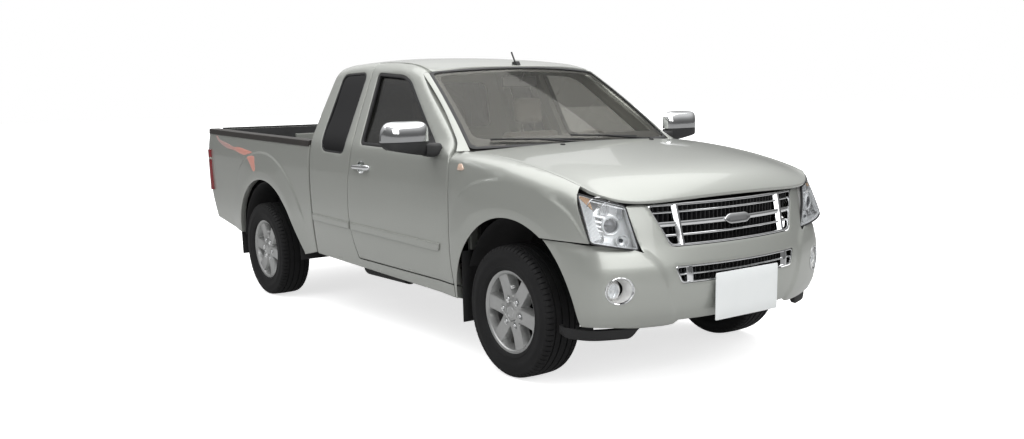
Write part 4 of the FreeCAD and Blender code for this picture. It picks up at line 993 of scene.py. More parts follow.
cover_loop += [(nose_w(y, z), z) for y, z in upper_side if z > 703]
bottom = [(nose_w(y, 701), 701) for y in np.linspace(396, 0, 30)]
half_loop = cover_loop + bottom
whole_loop = half_loop + [(-a, b) for a, b in half_loop[::-1]]
whole_loop = [p for i, p in enumerate(whole_loop) if math.dist(p, whole_loop[i - 1]) > 1.5]
fog_hole = [(nose_w(fog_y + fog_radius * math.cos(a), fog_z), fog_z + fog_radius * math.sin(a))
            for a in np.linspace(0, 2 * math.pi, 40, endpoint=False)]
bumper_holes = [on_nose(rounded(lower_grille, 20)), fog_hole, mirrored_loop(fog_hole)]
bumper_shape = pressed(nose_surface, whole_loop, bumper_holes, deep=5.0, radius=2.2, grid=18, outward=(1, 0, 0))
bumper_skin = piece("bumper_skin", *bumper_shape, paint, "chassis")
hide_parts("bumper")

# ---------------------------------------------------------------- Headlamps
# Wrap-round lamps: a clear moulded lens in a rubber gasket, over a plated reflector with a projector in a
# bright ring, a smoked upper bowl, a small lower bowl and upright ribs at the outer end, amber at their top.


def metal_finish(name, colour, roughness, grain=14.0, metallic=1.0, relief=0.0):
    """Bare or plated metal with patches of finger wear, and fine casting relief where asked."""
    material, start = blank(name)
    place = start.node("TexCoord", output="Object")
    wear = start.node("TexNoise", Vector=place, Scale=grain, Detail=5.0)
    fine = start.node("TexNoise", Vector=place, Scale=grain * 60, Detail=2.0)
    tone = start.node("ValToRGB", {"stops": [(0.25, tuple(0.9 * c for c in colour)), (0.75, colour)]}, Fac=wear)
    bump = start.node("Bump", Strength=relief, Distance=0.0003, Height=fine)
    return dress(material, Base_Color=tone, Metallic=metallic, Roughness=roughness + wear * 0.08, Normal=bump)


def patterned(name, texture, stops, settings=(), output=0, roughness=0.1, coat=0.0, **values):
    """A finish whose colour runs over the stops of one texture."""
    material, start = blank(name)
    place = start.node("TexCoord", output="Object")
    tone = start.node("ValToRGB", {"stops": stops}, Fac=start.node(texture, settings, output, Vector=place, **values))
    return dress(material, Base_Color=tone, Roughness=roughness, Coat_Weight=coat)


def turned(profile, centre, axis=(1, 0, 0), count=48, closed=False):
    """Points and faces of a profile of radius and height turned about an axis. It runs pole to pole, or is closed."""
    up = Vector(axis).normalized()
    first = up.cross(Vector((0, 0, 1)) if abs(up.z) < 0.9 else Vector((1, 0, 0))).normalized()
    second = up.cross(first)
    points = []
    for k in range(count):
        out = math.cos(math.tau * k / count) * first + math.sin(math.tau * k / count) * second
        points += [tuple(Vector(centre) + out * radius + up * height) for radius, height in profile]
    return points, quads(count, len(profile), closed, True)


chrome = metal_finish("chrome", (0.78, 0.79, 0.8), 0.04)
reflector_metal = metal_finish("lamp_reflector", (0.93, 0.93, 0.92), 0.26, 60.0, 0.4)
smoked_metal = metal_finish("smoked_reflector", (0.62, 0.62, 0.62), 0.2, 90.0, 0.6)
clear_lens = glass_finish("clear_lens", (0.97, 0.98, 0.99), (0.95, 0.95, 0.95), 0.0)
projector_glass = glass_finish("projector_glass", (0.3, 0.31, 0.32), (0.9, 0.9, 0.92), 0.06)
amber_lens = patterned("amber_lens", "TexNoise", [(0.2, (0.75, 0.42, 0.2)), (0.8, (0.9, 0.68, 0.48))], roughness=0.12,
                       coat=0.8, Scale=160.0)

lamp_corners = [Vector((ahead(620), 812, 746)), Vector((ahead(508), 794, 963)), Vector((ahead(643), 622, 903)),
                Vector((ahead(680), 566, 694))]
lamp_out = Vector((0.8, 0.55, 0))
lamp_in = Vector((-0.93, -0.36, 0))
lamp_wide, lamp_high = 240.0, 215.0


def lamp_point(a, b, depth=0.0):
    """The headlamp's face: a from its outer end inward, b from its foot up, depth into the lamp."""
    outer_foot, outer_top, inner_top, inner_foot = lamp_corners
    foot, top = outer_foot.lerp(inner_foot, a), outer_top.lerp(inner_top, a)
    swell = 104 * a * (1 - a) + 32 * b * (1 - b)
    return foot.lerp(top, b) + lamp_out * swell + lamp_in * depth


def lamp_sheet(depth):
    """The headlamp's face laid flat, at a depth into the lamp."""
    return lambda u, v: tuple(lamp_point(u / lamp_wide, v / lamp_high, depth))


def lamp_part(a, b, depth, profile, count=40):
    """A turned part of the headlamp, facing out through its lens."""
    return turned(profile, lamp_point(a, b, depth), -lamp_in, count)


lamp_loop = rounded([(2, 2), (238, 2), (238, 213), (2, 213)], 16)
lens_shape = pressed(lamp_sheet(0), lamp_loop, deep=2.5, radius=1.0, grid=16, outward=(1, 0, 0))
lens = pair("headlamp_lens", lens_shape, clear_lens)
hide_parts("headlamps")
gasket_loop = rounded([(-3, -3), (243, -3), (243, 218), (-3, 218)], 20)
gasket_shape = pressed(lamp_sheet(-0.5), gasket_loop, [inset(wound(lamp_loop, 1), 3)], deep=9.0,
                       inward=tuple(lamp_in), radius=1.2, grid=16, outward=(1, 0, 0))
pair("headlamp_gasket", gasket_shape, seal_rubber)
tray = pressed(lamp_sheet(3), inset(wound(lamp_loop, 1), 3.2), [inset(wound(lamp_loop, 1), 6)], deep=52.0,
               inward=tuple(lamp_in), radius=0.6, grid=16, outward=(1, 0, 0))
back = pressed(lamp_sheet(54), lamp_loop, deep=3.0, radius=0.8, grid=16, outward=(1, 0, 0))
bezel = lamp_part(0.56, 0.47, 34, [(0, -16), (43, -16), (45, 0), (44, 14), (41, 18), (37, 17), (35, 12), (33, -6),
                                   (0, -6)])
low_bowl = lamp_part(0.72, 0.16, 40, [(0, -12), (26, -12), (31, 14), (30, 17), (28, 16), (22, -2), (12, -8), (0, -9)])
ledges = []
for k, (foot, tall) in enumerate([(128, 9), (103, 7), (82, 6), (62, 5), (40, 5)]):
    far_end = 24 + 108 - 9 * k
    ledge = [(24, foot), (far_end, foot - 2), (far_end, foot + tall), (24, foot + tall + 3)]
    ledges.append(pressed(lamp_sheet(16 + 5 * k), ledge, deep=30.0 - 5 * k, inward=tuple(lamp_in), radius=0.8, grid=16,
                          outward=(1, 0, 0)))
brow = pressed(lamp_sheet(10), [(60, 200), (225, 200), (236, 190), (222, 193), (64, 193)], deep=40.0,
               inward=tuple(lamp_in), radius=0.8, grid=16, outward=(1, 0, 0))
pair("headlamp_reflector", together(tray, back, bezel, low_bowl, *ledges, brow), reflector_metal)
bowl_profile = [(0, -22), (40, -20), (52, -4), (55, 8), (52, 9), (44, -4), (30, -14), (0, -17)]
smoked = together(lamp_part(0.4, 0.78, 36, bowl_profile), lamp_part(0.66, 0.76, 36, bowl_profile),
                  lamp_part(0.56, 0.47, 34, [(0, -5), (32.5, -5), (34, 10), (32, 10), (30, -2), (0, -2)]),
                  lamp_part(0.24, 0.12, 40, [(0, -8), (24, -8), (26, 8), (24, 8), (20, -4), (0, -5)]))
pair("headlamp_bowls", smoked, smoked_metal)
lamp_dome = [(30 * math.sin(a), 20 * math.cos(a)) for a in np.linspace(0.15, 1.5, 9)]
projector = lamp_part(0.54, 0.46, 34, [(0, 20)] + lamp_dome + [(30, -4), (0, -4)])
bulb = [(0, 14), (6, 12.5), (9, 7), (9, -6), (0, -6)]
pair("headlamp_projector", together(projector, lamp_part(0.7, 0.17, 34, bulb)), projector_glass)
ribs, amber_ribs = [], []
for k in range(9):
    u = 6 + 6.2 * k
    lean = 5 * k
    for kept, low, high in ((ribs, 6 + 3 * k, 196 - lean), (amber_ribs, 198 - lean, 209)):
        kept.append(pressed(lamp_sheet(6), [(u, low), (u + 3.6, low), (u + 3.6 - 2, high), (u - 2, high)], deep=14.0,
                            inward=tuple(lamp_in), radius=1.0, grid=16, outward=(1, 0, 0)))
pair("headlamp_ribs", together(*ribs), reflector_metal)
pair("headlamp_amber_ribs", together(*amber_ribs), amber_lens)

# ---------------------------------------------------------------- Fog lamps
# Round lamps set deep in the bumper, each a silver cup in a plated ring with a small round lamp at its foot.


def fog_ring(rows, count=48):
    """A ring that follows the bumper's face round the fog lamp's hole. A row is a radius and how far it stands out."""
    sections = []
    for k in range(count):
        a = math.tau * k / count
        ring = []
        for radius, out in rows:
            y, z = fog_y + radius * math.cos(a), fog_z + radius * math.sin(a)
            face = nose_surface(nose_w(fog_y + fog_radius * math.cos(a), z), fog_z + fog_radius * math.sin(a))
            ring.append((face[0] + out, y, z))
        sections.append(ring)
    points, faces = skin_through(sections + sections[:1])
    return points, faces[:-2]


fog_x = nose_surface(nose_w(fog_y, fog_z), fog_z)[0]
rim_rows = [(64.5, -1), (64, 2.2), (61.5, 3.6), (58, 2.6), (56.5, -2), (56, -7), (60, -7), (61.5, -2)]
fog_rims = pair("fog_lamp_rim", fog_ring(rim_rows), chrome)
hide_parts("fog_lamps")
cup_rows = [(57.5, -6), (55, -14), (50, -40), (46, -62), (48, -64), (53, -41), (58, -14), (60, -6)]
cup_back = turned([(0, 2), (47, 2), (49, 0), (0, 0)], (fog_x - 62, fog_y, fog_z))
pair("fog_lamp_cup", together(fog_ring(cup_rows), cup_back), reflector_metal)
fog_place = (fog_x - 58, fog_y + 12, fog_z - 2)
fog_body = [(0, 0), (37, 0), (38, 24), (36, 27), (33.5, 24), (30, 10), (0, 6)]
pair("fog_lamp_body", turned(fog_body, fog_place), reflector_metal)
fog_dome = [(34 * math.sin(a), 22 + 8 * math.cos(a)) for a in np.linspace(0.2, 1.57, 8)]
pair("fog_lamp_lens", turned([(0, 30)] + fog_dome + [(34, 20), (0, 20)], fog_place), clear_lens)
fog_bulb = [(0, 22), (7, 20), (9, 14), (9, 5), (0, 5)]
pair("fog_lamp_bulb", turned(fog_bulb, fog_place), reflector_metal)

# ---------------------------------------------------------------- Grilles
# Plated grilles: a rim, cross bars and two raised posts over black slats, with a plain lozenge in the middle.
# Near-black plates behind them are painted shade, standing for the dark inside the nose.


def nose_bar(y_low, y_high, z, section, step=14.0, rise=0.0):
    """A bar across the grille. Its section is how far back from the face and how far up each corner is."""
    sections = []
    for y in np.linspace(y_low, y_high, max(3, round((y_high - y_low) / step))):
        sections.append([(nose_x(y, z) - back, y, z + up + rise * abs(y)) for back, up in section])
    return skin_through(sections)


def blade(height, front=12.0, deep=26.0):
    """Section of a cross bar, rounded in front."""
    h = height / 2
    return [(front + deep, -h), (front + 3, -h), (front + 0.8, -0.6 * h), (front, 0), (front + 0.8, 0.6 * h),
            (front + 3, h), (front + deep, h)]


def nose_depth(back):
    """The nose's face moved back."""
    def point(w, z):
        x, y, height = nose_surface(w, z)
        return x - back, y, height
    return point


def width_at(points, z):
    """Half width of a grille opening at a height."""
    (top_y, top_z), (foot_y, foot_z) = points[0], points[1]
    return foot_y + (top_y - foot_y) * (z - foot_z) / (top_z - foot_z)


upper_rim = [(516, 899), (419, 702.5), (-419, 702.5), (-516, 899)]
upper_room = [(496, 886), (411, 714), (-411, 714), (-496, 886)]
rim_shape = pressed(nose_depth(4), on_nose(rounded(upper_rim, 22)), [on_nose(rounded(upper_room, 18))], deep=24.0,
                    inward=(-1, 0, 0), radius=4.0, grid=22, outward=(1, 0, 0))
lower_rim = [(418, 613), (387.5, 532.5), (-387.5, 532.5), (-418, 613)]
lower_room = [(405, 605), (380, 541), (-380, 541), (-405, 605)]
low_rim_shape = pressed(nose_depth(4), on_nose(rounded(lower_rim, 18)), [on_nose(rounded(lower_room, 14))], deep=20.0,
                        inward=(-1, 0, 0), radius=2.6, grid=22, outward=(1, 0, 0))
bars = [nose_bar(-width_at(upper_room, z) - 4, width_at(upper_room, z) + 4, z, blade(height, front))
        for z, height, front in ((752, 10, 12), (804, 22, 8), (857, 10, 12))]
bars.append(nose_bar(-396, 396, 573, blade(8, 10)))


def grille_post(y, low, high, width, proud, lean=8.0):
    """A raised upright with a sloping outer flank, wide at the back and narrow in front."""
    sections = []
    for k in range(9):
        share = k / 8
        z = low + (high - low) * share
        middle = y + lean * share
        face = nose_x(middle, z)
        half = width / 2
        sections.append([(face - 40, middle - half, z), (face - 16, middle - half, z),
                         (face - proud, middle - 0.34 * half, z), (face - proud + 1.5, middle, z),
                         (face - proud, middle + 0.34 * half, z), (face - 16, middle + half, z),
                         (face - 40, middle + half, z)])
    return skin_through(sections)


def both_sides(shape):
    points, faces = shape
    return together(shape, ([(x, -y, z) for x, y, z in points], [face[::-1] for face in faces]))


posts = together(both_sides(grille_post(350, 708, 892, 46, 3)), both_sides(grille_post(330, 536, 610, 44, 3, 4)))
grille_chrome = piece("grille_bars", *together(rim_shape, low_rim_shape, *bars, posts), chrome, "chassis", sharp=32)
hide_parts("grilles")
slats = []
for y in np.arange(-468, 469, 26.0):
    top = min(890.0, 714 + (abs(y) < 411) * 180 + max(0.0, 172 * (496 - abs(y)) / 85) * (abs(y) >= 411))
    foot = 708 if abs(y) < 405 else 708 + 172 * (abs(y) - 405) / 85
    face = nose_x(y, 800)
    slats.append(block((face - 74, y - 2, foot), (face - 36, y + 2, 890), 1.5))
for y in np.arange(-364, 365, 26.0):
    face = nose_x(y, 573)
    slats.append(block((face - 52, y - 2, 538), (face - 34, y + 2, 608), 1.5))
piece("grille_slats", *together(*slats), black_plastic, "chassis")
# Painted shade: near-black plates that stand for the dark inside the nose behind the grilles.
shade_plates = [pressed(nose_depth(76), on_nose(rounded([(500, 892), (412, 706), (-412, 706), (-500, 892)], 20)), deep=3.0,
                 inward=(-1, 0, 0), radius=0.8, grid=60, outward=(1, 0, 0)),
         pressed(nose_depth(54), on_nose(rounded([(410, 611), (384, 535), (-384, 535), (-410, 611)], 14)), deep=3.0,
                 inward=(-1, 0, 0), radius=0.8, grid=60, outward=(1, 0, 0))]
shadow_black = patterned("shadow_black", "TexNoise", [(0.3, (0.002, 0.002, 0.002)), (0.7, (0.006, 0.006, 0.006))],
                         roughness=0.9, Scale=300.0)
piece("grille_backing", *together(*shade_plates), shadow_black, "chassis")
cross_member = [block((2188, -560, 872), (2202, 560, 934), 4), block((2128, -300, 900), (2190, 300, 912), 4)]
piece("grille_cross_member", *together(*cross_member), black_plastic, "chassis")
lozenge = [(96, 804), (62, 828), (-62, 828), (-96, 804), (-62, 780), (62, 780)]
lozenge_shape = pressed(nose_depth(1), on_nose(rounded(lozenge, 16)), deep=9.0, inward=(-1, 0, 0), radius=3.0, grid=16,
                        outward=(1, 0, 0))
piece("grille_badge_place", *lozenge_shape, chrome, "chassis")

# ---------------------------------------------------------------- Wheels
# Cast alloy wheels with six broad spokes and deep sloping flanks, a round-cornered centre cap and six plated
# nuts. The tyres are road tyres with cut shoulders, four grooves and raised bands on the side walls.

track_y = 730.0
wheel_face_y = 819.0
spoke_turn = math.radians(40)
spoke_half = 35.0
nut_radius = 70.0
window_radius = 182.0
alloy = metal_finish("wheel_alloy", (0.47, 0.475, 0.47), 0.3, 40.0, 0.75, 0.12)
brake_iron = metal_finish("brake_iron", (0.06, 0.055, 0.05), 0.5, 30.0, 0.8, 0.3)


def spoke_frame(p, q):
    """How far along the nearest spoke a point of the wheel's face is, and how far beside its middle."""
    radius = math.hypot(p, q)
    turn = (math.atan2(p, q) - spoke_turn + math.pi / 6) % (math.pi / 3) - math.pi / 6
    return radius, radius * math.cos(turn), abs(radius * math.sin(turn))


def wheel_depth(p, q):
    """How far the wheel's face lies behind its outer plane."""
    radius, onward, beside = spoke_frame(p, q)
    share = max(0.0, min(1.0, (radius - 60) / 130))
    depth = 9 + 5 * math.sin(math.pi * share) - 3 * (1 - smooth((radius - 52) / 30))
    depth += 14 * (1 - smooth((radius - 44) / 6))
    flank = smooth((beside - spoke_half) / 11) * (1 - smooth((radius - 184) / 8))
    well = 1 - smooth((math.hypot(onward - nut_radius, beside) - 13) / 5)
    return depth + 40 * flank + 13 * well


def wheel_face(centre_x):
    """The left wheel's face, across and up from its centre."""
    return lambda u, v: (centre_x + u, wheel_face_y - wheel_depth(u, v), axle_z + v)


def spoke_point(turn, onward, beside):
    """A flat point of the wheel at a place along and beside a spoke."""
    return (onward * math.sin(turn) + beside * math.cos(turn), onward * math.cos(turn) - beside * math.sin(turn))


windows, creases = [], []
for k in range(6):
    turn = spoke_turn + k * math.pi / 3
    onward_turn = turn + math.pi / 3
    edge = spoke_half + 12
    reach = math.sqrt(window_radius**2 - edge**2)
    first, last = spoke_point(turn, reach, edge), spoke_point(onward_turn, reach, -edge)
    apex = spoke_point(turn, edge / math.tan(math.pi / 6), edge)
    start_turn, end_turn = math.atan2(*first), math.atan2(*last)
    sweep = (end_turn - start_turn) % math.tau
    arc_turns = [start_turn + sweep * j / 14 for j in range(15)]
    arc = [(window_radius * math.sin(a), window_radius * math.cos(a)) for a in arc_turns]
    windows.append(joined([[apex, first], arc, [last, apex]], 3, 7))
    for beside in (spoke_half + 1, -spoke_half - 1, spoke_half - 3, 3 - spoke_half):
        creases += [spoke_point(turn, onward, beside) for onward in np.arange(66, 184, 5.0)]
circle = arch_loop(0, 0, 194, 0, 360, 120)[:-1]
rim_profile = [(192, 11), (196, 8.5), (200, 4), (205, 3), (208, 0.8), (213, 0), (217, 0.8), (218, 4), (218, 9),
               (205, 15), (199, 60), (197, 110), (199, 160), (218, 170), (218, 177.5), (209, 178), (193, 160),
               (190, 110), (190, 60), (190, 24)]
cap_profile = [(0, 3.4), (16, 3.2), (26, 4.2), (34, 5), (44, 7), (50, 10), (53, 18), (0, 18)]


def wheel_shape(centre_x):
    """The casting of the left wheel: pressed face, rim and cap."""
    face = pressed(wheel_face(centre_x), circle, windows, deep=9.0, inward=(0, -1, 0), radius=1.6, grid=8.5,
                   extra=creases)
    place = (centre_x, wheel_face_y, axle_z)
    rim = turned([(radius, -depth) for radius, depth in rim_profile], place, (0, 1, 0), 120, True)
    cap_points, cap_faces = turned([(radius, -depth) for radius, depth in cap_profile], place, (0, 1, 0), 72)
    shaped = []
    for x, y, z in cap_points:
        p, q = x - centre_x, z - axle_z
        _, onward, beside = spoke_frame(p, q)
        grow = 1 - 0.13 * (onward / max(1e-6, math.hypot(p, q)) - 0.866) / 0.134
        shaped.append((centre_x + p * grow, y, axle_z + q * grow))
    return together(face, rim, (shaped, cap_faces))


def wheel_nuts(centre_x):
    """Six nuts in their wells, and the thin ring on the centre cap."""
    shapes = []
    for k in range(6):
        p, q = spoke_point(spoke_turn + k * math.pi / 3, nut_radius, 0)
        place = (centre_x + p, wheel_face_y, axle_z + q)
        shapes.append(turned([(0, -6), (5, -6.3), (8, -8), (10, -11), (10, -26), (0, -26)], place, (0, 1, 0), 6))
        shapes.append(turned([(10, -20), (12.5, -23), (12.5, -26), (8, -26)], place, (0, 1, 0), 24, True))
    ring = turned([(24, -3.4), (25.5, -2.6), (27, -3.4), (27, -6), (24, -6)], (centre_x, wheel_face_y, axle_z),
                  (0, 1, 0), 48, True)
    return together(*shapes, ring)


def brake_shape(centre_x):
    """The brake disc and hub behind the spokes."""
    place = (centre_x, wheel_face_y, axle_z)
    disc = turned([(0, -84), (72, -84), (78, -88), (80, -96), (142, -98), (146, -102), (146, -114), (0, -116)], place,
                  (0, 1, 0), 64)
    hub = turned([(0, -40), (30, -40), (34, -44), (60, -46), (62, -85), (0, -85)], place, (0, 1, 0), 48)
    return together(disc, hub)


groove_lines = (22.0, 58.0)


def tyre_rows():
    """The tyre's section as radius, distance from its middle, and how deep a shoulder cut goes there."""
    side = [(209, 84, 0), (212, 92, 0), (218, 98, 0), (226, 101, 0), (232, 103.5, 0), (234, 102, 0), (248, 105, 0),
            (262, 106.6, 0), (264, 107.6, 0), (282, 108, 0), (284, 107.2, 0), (298, 106, 0), (308, 104, 0),
            (312, 104.6, 2), (320, 102, 4), (327, 97, 6), (332, 90, 6.5), (334.4, 82, 6.5), (335.8, 72, 6.5),
            (336.2, 66, 0)]
    tread = []
    for middle in reversed(groove_lines):
        for away, sunk in ((4.5, 0), (3.2, 7), (-3.2, 7), (-4.5, 0)):
            w = middle + away
            tread.append((338 - 0.00042 * w * w - sunk, w, 0))
    tread.append((338, 8, 0))
    half = side + tread
    mirror = [(radius, -w, cut) for radius, w, cut in reversed(half)]
    bead = [(209, -70, 0), (228, -76, 0), (262, -88, 0), (300, -88, 0), (318, -70, 0), (322, 0, 0), (318, 70, 0),
            (300, 88, 0), (262, 88, 0), (228, 76, 0), (209, 70, 0)]
    return half + mirror + bead


def tyre_shape(centre, axis=(0, 1, 0), blocks=72):
    """A treaded tyre about an axis, its shoulders cut into blocks."""
    rows = tyre_rows()
    up = Vector(axis)
    first = Vector((1, 0, 0))
    second = up.cross(first)
    points = []
    columns = [(0.0, 0), (0.05, 1), (0.17, 1), (0.22, 0), (0.6, 0)]
    total = blocks * len(columns)
    for k in range(total):
        share, cut = columns[k % len(columns)]
        base = (k // len(columns) + share) / blocks * math.tau
        for radius, w, depth in rows:
            a = base + 0.012 * (w / 100 if abs(w) > 60 else 0)
            out = first * math.cos(a) + second * math.sin(a)
            points.append(tuple(Vector(centre) + out * (radius - cut * depth) + up * w))
    return points, quads(total, len(rows), True, True)


tyre_rubber = dress(rubber_finish("tyre_rubber", (0.0075, 0.0075, 0.008), 0.66, 500), Specular_IOR_Level=0.3)
for end, centre_x in (("front", front_axle_x), ("rear", rear_axle_x)):
    carriers = ("wheel_" + end + "_left", "wheel_" + end + "_right")
    pair("alloy_wheel_" + end, wheel_shape(centre_x), alloy, carriers, ["wheel_" + end + "_SIDE"], sharp=34)
    pair("wheel_nuts_" + end, wheel_nuts(centre_x), chrome, carriers)
    pair("brake_" + end, brake_shape(centre_x), brake_iron, carriers)
    pair("road_tyre_" + end, tyre_shape((centre_x, track_y, axle_z)), tyre_rubber, carriers, ["tyre_" + end + "_SIDE"],
         sharp=30)

# ---------------------------------------------------------------- Windows
# Rubber seals pressed into the door and quarter windows, with a black plastic patch at the door window's front
# corner, where the mirror is fixed.


def side_depth(back):
    """The side's surface moved straight back through the thickness of a door."""
    return lambda x, z: (x, side_y(x, z) - back, z - slab_slope * back)


door_hole = wound(rounded(door_window, 40), 1)
door_seal = pressed(side_depth(3), inset(door_hole, -0.3), [inset(door_hole, 19)], deep=16.0,
                    inward=(0, -1, -slab_slope), radius=2.5, grid=20)
pair("door_window_seal", door_seal, seal_rubber, door_bodies)
patch_loop = rounded([(1004, 1100), (860, 1100), (846, 1222), (900, 1182)], 10)
sail = pressed(side_depth(2), patch_loop, deep=14.0, inward=(0, -1, -slab_slope), radius=2.0, grid=20)
pair("mirror_patch", sail, black_plastic, door_bodies)
quarter_hole = wound(rounded(quarter_window, 60), 1)
quarter_seal = pressed(side_depth(1.5), inset(quarter_hole, -0.3), [inset(quarter_hole, 12)], deep=14.0,
                       inward=(0, -1, -slab_slope), radius=2.0, grid=20)
pair("quarter_window_seal", quarter_seal, seal_rubber)

# ---------------------------------------------------------------- Mirrors
# Plated caps over black lower shells. Each stands on a black arm at the window's front corner, with its glass
# facing back.

shell_root, shell_span = 880.0, 268.0


def shell_front(y, z):
    """Station of the mirror shell's front at a half width and height."""
    along_y = (y - shell_root) / shell_span
    reach = 74 * max(0.02, 1 - abs(2 * along_y - 0.92) ** 4.5 / 1.7)
    level = (z - 1196) / (88 if z > 1196 else 110)
    return 962 + reach * max(0.0, 1 - abs(level) ** 3.2) ** 0.4


def shell_top(y):
    """Height of the mirror shell's top at a half width."""
    along_y = max(0.0, min(1.0, (y - shell_root) / shell_span))
    return 1176 + 108 * max(0.0, 1 - abs(2 * along_y - 0.95) ** 5.5 / 1.35) ** 0.5


def shell_foot(y):
    """Height of the mirror shell's foot at a half width."""
    along_y = max(0.0, min(1.0, (y - shell_root) / shell_span))
    return 1100 + 46 * along_y**1.3 + 26 * max(0.0, (along_y - 0.86) / 0.14) ** 2


def shell_ring(y, low, high):
    points = [(shell_front(y, z), y, z) for z in low + (high - low) * (0.5 - 0.5 * np.cos(np.linspace(0, math.pi, 15)))]
    return [(959, y, low + 1)] + points + [(959, y, high - 1)]


stations = shell_root + shell_span * (0.5 - 0.5 * np.cos(np.linspace(0.12, math.pi - 0.1, 28)))
cap = skin_through([shell_ring(y, 1178, shell_top(y) + 0.5) for y in stations])
pair("mirror_cap", cap, chrome, door_bodies, ["mirror_SIDE"], sharp=50)
lower = skin_through([shell_ring(y, shell_foot(y), 1176) for y in stations])


def squarish(share):
    """A sine or cosine pushed outward, so that a circle turns into a round-cornered square."""
    return math.copysign(abs(share) ** 0.6, share)


arm_loop = []
for y, x, low, high, half in ((795, 948, 1098, 1164, 56), (835, 962, 1090, 1164, 50), (870, 984, 1092, 1166, 40),
                              (905, 998, 1098, 1170, 30)):
    turns = np.linspace(0, math.tau, 24, endpoint=False)
    arm_loop.append([(x + half * squarish(math.cos(a)), y, (low + high) / 2 + (high - low) / 2 * squarish(math.sin(a)))
                     for a in turns])
pair("mirror_lower_shell", together(lower, skin_through(arm_loop)), black_plastic, door_bodies,
     sharp=50)
glass_loop_flat = rounded([(900, 1120), (1132, 1152), (1128, 1262), (1092, 1274), (936, 1272), (902, 1236)], 26)
mirror_glass = pressed(lambda u, v: (957.5, u, v), glass_loop_flat, deep=3.0, inward=(1, 0, 0), radius=1.0, grid=40,
                       outward=(-1, 0, 0))
pair("mirror_glass", mirror_glass, chrome, door_bodies)

# ---------------------------------------------------------------- Door furniture
# Plated strap handles over oval dishes, body-coloured rubbing strips, the lamps on the fenders, and the washer
# jets on the hood.

handle_z = 1003.0
strap_turns = np.linspace(0, math.tau, 20, endpoint=False)


def dish_point(x, z):
    """The bottom of the handle's dish."""
    share = ((x - dish_x) / dish_wide) ** 2 + ((z - dish_z) / dish_high) ** 2
    return x, side_y(x, z) - 1.5 - 17 * max(0.0, 1 - share) ** 0.7, z


pair("handle_dish", pressed(dish_point, ellipse(1.5), deep=3.0, inward=(0, -1, 0), radius=1.0, grid=9), chrome,
     door_bodies)
sections = []
for k in range(31):
    t = k / 30
    x = 50 + 214 * t
    bow = min(1.0, math.sin(math.pi * min(1, max(0, t))) * 1.9) ** 0.6
    half = 12.5 + 3 * smooth((t - 0.72) / 0.1) - 8 * smooth((abs(2 * t - 1) - 0.9) / 0.1)
    y = side_y(x, handle_z) + 2 + 19 * bow
    sections.append([(x, y + 6.5 * math.cos(a), handle_z + half * math.sin(a)) for a in strap_turns])
pair("handle_strap", skin_through(sections), chrome, door_bodies, ["door_handle_SIDE"], sharp=60)


def strip_top(x):
    """Height of the rubbing strip's upper edge."""
    return 673 - 47 * (x + 576) / 1602


def strip(x0, x1, taper=0.0):
    """A rubbing strip between two stations, with a tapered front end where asked."""
    low = [(x, strip_top(x) - 46 + 6 * smooth((x - x1 + 60) / 60) * taper)
           for x in np.linspace(x0, x1 - 14 * taper, 30)]
    high = [(x, strip_top(x)) for x in np.linspace(x1, x0, 30)]
    return pressed(side_depth(-8.5), low + high, deep=8.8, inward=(0, -1, 0), radius=3.2, grid=15)


pair("rubbing_strip_door", strip(-8, 1024, 1.0), paint, door_bodies, sharp=60)
pair("rubbing_strip_cab", strip(-543, -32), paint, sharp=60)
repeater_lens = patterned("repeater_lens", "TexVoronoi", [(0.0, (0.8, 0.7, 0.62)), (0.6, (0.72, 0.5, 0.38))],
                          output="Distance", roughness=0.08, coat=1.0, Scale=140.0)
repeater_loop = rounded([(1212, 1096), (1264, 1040), (1258, 1030), (1206, 1030)], 9)
repeater = pressed(lambda x, v: (x, fender_point(x, v)[1] + 5, v), repeater_loop, deep=7.0, inward=(0, -1, 0),
                   radius=2.5, grid=12)
pair("fender_repeater", repeater, repeater_lens)
jets = []
for y in (-321, 321):
    for k in range(1000):
        if hood_point(k / 1000, abs(y) / hood_half)[0] > 1441:
            break
    x, _, z = hood_point(k / 1000, abs(y) / hood_half)
    shape = [(x - 13, y - 7, z - 4), (x - 13, y + 7, z - 4), (x + 12, y + 9, z - 4), (x + 12, y - 9, z - 4)]
    jets.append(skin_through([shape, [(a, b, c + 6) for a, b, c in shape],
                              [(x + (a - x) * 0.7, y + (b - y) * 0.7, z + 7) for a, b, c in shape]]))
piece("washer_jets", *together(*jets), black_plastic, "hood")

# ---------------------------------------------------------------- Bed furniture
# Black caps on the bed's edges, ribs moulded into the liner, the tailgate with its pressed panel, wrap-round
# tail lamps, and a salmon stripe of thin film along each flank.

rail_plastic = rubber_finish("rail_plastic", (0.021, 0.018, 0.016), 0.5, 700)
sections = []
for x in np.linspace(rear_x + 30, bed_front_x - 2, 40):
    z = 1050.4 + lift(x)
    y = side_y(x, z)
    flat = rounded([(y + 7, z - 9), (y + 4, z + 28), (y - 10, z + 31), (y - 74, z + 31), (y - 78, z + 1),
                    (y + 1, z + 1), (y + 1.5, z - 9)], 3, 400)
    sections.append([(x, a, b) for a, b in flat])
rails = pair("bed_rail_cap", skin_through(sections), rail_plastic)
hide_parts("bed_rails")
liner_half = 744.0
liner_base = 520 + lift(bed_front_x) + 24
ribs = [block((-2372, y - 22, liner_base - 1), (-610, y + 22, liner_base + 7), 3) for y in np.arange(-480, 481, 80.0)]
for y in np.arange(-640, 641, 80.0):
    ribs.append(block((-607, y - 20, liner_base), (-594, y + 20, 1092), 3))
for x in np.arange(-2300, -620, 88.0):
    for way in (-1, 1):
        if abs(x - rear_arch[0]) > 540:
            low, high = sorted((way * (liner_half - 24), way * (liner_half - 36)))
            ribs.append(block((x - 20, low, liner_base), (x + 20, high, 1088), 3))
ribs.append(block((-2380, -742, 1092), (-580, -716, 1100), 3))
ribs.append(block((-2380, 716, 1092), (-580, 742, 1100), 3))
